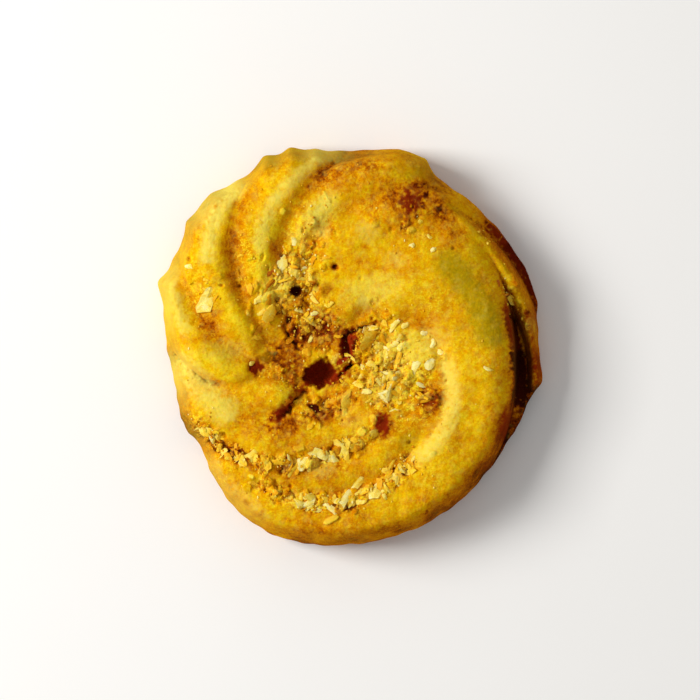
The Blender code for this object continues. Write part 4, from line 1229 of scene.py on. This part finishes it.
def shredFaces(count):
    # Quads between neighbouring ovals and a flat cap at each end, shifted on for each shred.
    stations, corners = shreds["stations"], shreds["corners"]
    index = np.arange(stations * corners).reshape(stations, corners)
    after = np.roll(index, -1, axis=1)
    quads = np.stack([index[:-1], after[:-1], after[1:], index[1:]], axis=2).reshape(-1, 4)
    shift = (np.arange(count) * stations * corners)[:, None, None]
    caps = np.stack([index[0][::-1], index[-1]])
    return (quads[None] + shift).reshape(-1, 4).tolist() + (caps[None] + shift).reshape(-1, corners).tolist()


def paintLeeShade(piece, amount):
    # Painted shade: darker by how far each corner faces away from the light.
    mesh = piece.data
    normals, values = np.empty(3 * len(mesh.vertices)), np.empty(len(mesh.vertices))
    mesh.vertices.foreach_get("normal", normals)
    mesh.attributes["toast"].data.foreach_get("value", values)
    away = np.clip(normals.reshape(-1, 3) @ np.array(shreds["leeWay"]) + 0.1, 0.0, 1.0)
    mesh.attributes["toast"].data.foreach_set("value", values + amount * away)


shredLook = {
    "stops": (
        (0.0, (0.97, 0.84, 0.33)),
        (0.14, (0.95, 0.73, 0.14)),
        (0.32, (0.93, 0.60, 0.035)),
        (0.50, (0.90, 0.47, 0.008)),
        (0.7, (0.80, 0.33, 0.004)),
        (1.0, (0.50, 0.12, 0.003)),
    ),
    "roughness": 0.5,
    "specular": 0.10,
    "subsurface": 0.35,
    "spread": 0.6,
    "glow": (1.0, 0.9, 0.5),
    "bump": (0.06, 0.6),
}


def buildShredMaterial():
    # The browning and painted shade at each corner plus noise at two sizes picks from cream to
    # toasted; a bump gives fibres.
    recipe = Recipe("coconutFlesh")
    place = recipe.place()
    toast = recipe.sum(recipe.number("toast"), recipe.noise(place, 0.9, 3.0), 0.6)
    toast = recipe.sum(recipe.sum(-0.46, toast), recipe.noise(place, 0.2, 2.0), 0.4)
    normal = recipe.bump(recipe.noise(place, 0.25, 3.0), *shredLook["bump"])
    return recipe.finish(recipe.ramp(toast, shredLook["stops"]), shredLook, normal)


coconut = buildShredMaterial()
rows = shredPlaces()
shapes = layShapes(rows, *shredShapes(rows, 611), shreds["sink"], 612)
shredPoints = shapes.reshape(-1, 3)
shredToastAndShade = {"toast": np.repeat(rows[:, 5], shreds["stations"] * shreds["corners"])}
shredPiece = newPiece("coconutShreds", shredPoints, shredFaces(len(rows)), shredToastAndShade, coconut, False)
paintLeeShade(shredPiece, shreds["paintedLeeShade"])
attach(shredPiece, "root")
report("coconut shreds: %d" % len(rows))

# Loose crumbs.

crumbs = {"count": 800, "size": (0.14, 0.45), "everywhere": 0.01, "seed": 88}


def crumbShapes(count, rng):
    # A twenty-sided ball whose corners are pushed in and out at random.
    golden = 0.5 * (1.0 + math.sqrt(5.0))
    corners = np.array([
        (-1, golden, 0), (1, golden, 0), (-1, -golden, 0), (1, -golden, 0),
        (0, -1, golden), (0, 1, golden), (0, -1, -golden), (0, 1, -golden),
        (golden, 0, -1), (golden, 0, 1), (-golden, 0, -1), (-golden, 0, 1),
    ]) / 1.9
    faces = np.array([
        (0, 11, 5), (0, 5, 1), (0, 1, 7), (0, 7, 10), (0, 10, 11), (1, 5, 9), (5, 11, 4),
        (11, 10, 2), (10, 7, 6), (7, 1, 8), (3, 9, 4), (3, 4, 2), (3, 2, 6), (3, 6, 8),
        (3, 8, 9), (4, 9, 5), (2, 4, 11), (6, 2, 10), (8, 6, 7), (9, 8, 1),
    ])
    forms = corners[None] * rng.uniform(0.75, 1.25, (count, 12, 1)) * rng.uniform(0.6, 1.3, (count, 1, 3))
    return forms, faces


def crumbField():
    # Crumbs lie where the surface is crumbly, and sparsely everywhere else, each resting
    # on the dough and with its own toast.
    rng = np.random.default_rng(crumbs["seed"])
    chance = ((crumbly**1.2 + crumbs["everywhere"]) * (gridInset > 0.8) * (heightField > 6.5)).ravel()
    cells = rng.choice(chance.size, crumbs["count"], p=chance / chance.sum())
    row, column = np.divmod(cells, gridX.shape[1])
    size = rng.uniform(*crumbs["size"], crumbs["count"])
    forms, faces = crumbShapes(crumbs["count"], rng)
    x = gridX[row, column] + rng.uniform(-0.05, 0.05, len(cells))
    y = gridY[row, column] + rng.uniform(-0.05, 0.05, len(cells))
    z = sample(heightField, x, y) + 0.05 * size
    places = np.stack([x, y, z], axis=1)[:, None, :] + 0.5 * size[:, None, None] * forms
    allFaces = faces[None] + (np.arange(len(cells)) * 12)[:, None, None]
    toast = np.repeat(rng.uniform(0.0, 0.7, len(cells)), 12)
    return places.reshape(-1, 3), allFaces.reshape(-1, 3), toast


crumbPoints, crumbFaces, crumbToast = crumbField()
crumbPiece = newPiece("looseCrumbs", crumbPoints, crumbFaces.tolist(), {"toast": crumbToast}, coconut, False)
paintLeeShade(crumbPiece, shreds["paintedLeeShade"])
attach(crumbPiece, "root")
report("loose crumbs: %d" % crumbs["count"])

# Floor, light and camera.

studio = {
    "floorHalf": 0.6,
    "floorColour": (0.96, 0.96, 0.96),
    "floorLighter": (0.97, 0.97, 0.97),
    "worldColour": (1.0, 0.985, 0.96),
    "worldStrength": 0.36,
    "lamps": {  # place, size, power, colour
        "windowLight": ((-0.45, 0.096, 0.386), 0.26, 3.4, (1.0, 0.98, 0.94)),
        "fillLight": ((0.10, 0.45, 0.50), 0.60, 0.25, (1.0, 0.97, 0.92)),
    },
    "cameraHeight": 0.62,
    "viewWidth": 0.105,
    "cameraShift": (0.0, -0.0005),
}


def buildFloor():
    # A square of pale paper under the biscuit, with a faint unevenness.
    mesh = bpy.data.meshes.new("tableTop")
    half = studio["floorHalf"]
    corners = [(-half, -half, 0.0), (half, -half, 0.0), (half, half, 0.0), (-half, half, 0.0)]
    mesh.from_pydata(corners, [], [(0, 1, 2, 3)])
    recipe = Recipe("palePaper")
    place = recipe.place()
    stops = ((0.3, studio["floorColour"]), (0.7, studio["floorLighter"]))
    tint = recipe.ramp(recipe.noise(place, 40.0, 2.0), stops)
    recipe.tree.links.new(tint, recipe.shader.inputs["Base Color"])
    recipe.shader.inputs["Roughness"].default_value = 0.9
    mesh.materials.append(recipe.material)
    floor = bpy.data.objects.new("tableTop", mesh)
    bpy.context.scene.collection.objects.link(floor)


def addLamp(name, place, size, power, colour):
    # A square lamp at this place, turned to face the biscuit.
    lamp = bpy.data.lights.new(name, "AREA")
    lamp.size = size
    lamp.energy = power
    lamp.color = colour
    thing = bpy.data.objects.new(name, lamp)
    bpy.context.scene.collection.objects.link(thing)
    thing.location = place
    direction = -np.array(place)
    yaw = math.atan2(direction[0], -direction[1])
    tilt = math.atan2(math.hypot(direction[0], direction[1]), -direction[2])
    thing.rotation_euler = (tilt, 0.0, yaw + math.pi)


def buildStudio():
    # Floor, an even room, a soft window light from the left and a weak one from behind,
    # and a camera that looks straight down.
    scene = bpy.context.scene
    buildFloor()
    world = bpy.data.worlds.new("softRoom")
    world.use_nodes = True
    sky = world.node_tree.nodes["Background"]
    sky.inputs["Color"].default_value = (*studio["worldColour"], 1.0)
    sky.inputs["Strength"].default_value = studio["worldStrength"]
    scene.world = world
    for name, lamp in studio["lamps"].items():
        addLamp(name, *lamp)
    camera = bpy.data.cameras.new("viewFromAbove")
    camera.sensor_width = 36.0
    camera.lens = 36.0 * (studio["cameraHeight"] - 0.008) / studio["viewWidth"]
    camera.clip_start = 0.05
    camera.clip_end = 5.0
    eye = bpy.data.objects.new("viewFromAbove", camera)
    eye.location = (studio["cameraShift"][0], studio["cameraShift"][1], studio["cameraHeight"])
    scene.collection.objects.link(eye)
    scene.camera = eye
    scene.view_settings.view_transform = "Standard"


buildStudio()
report("floor, light and camera set")

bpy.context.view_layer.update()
report("done")
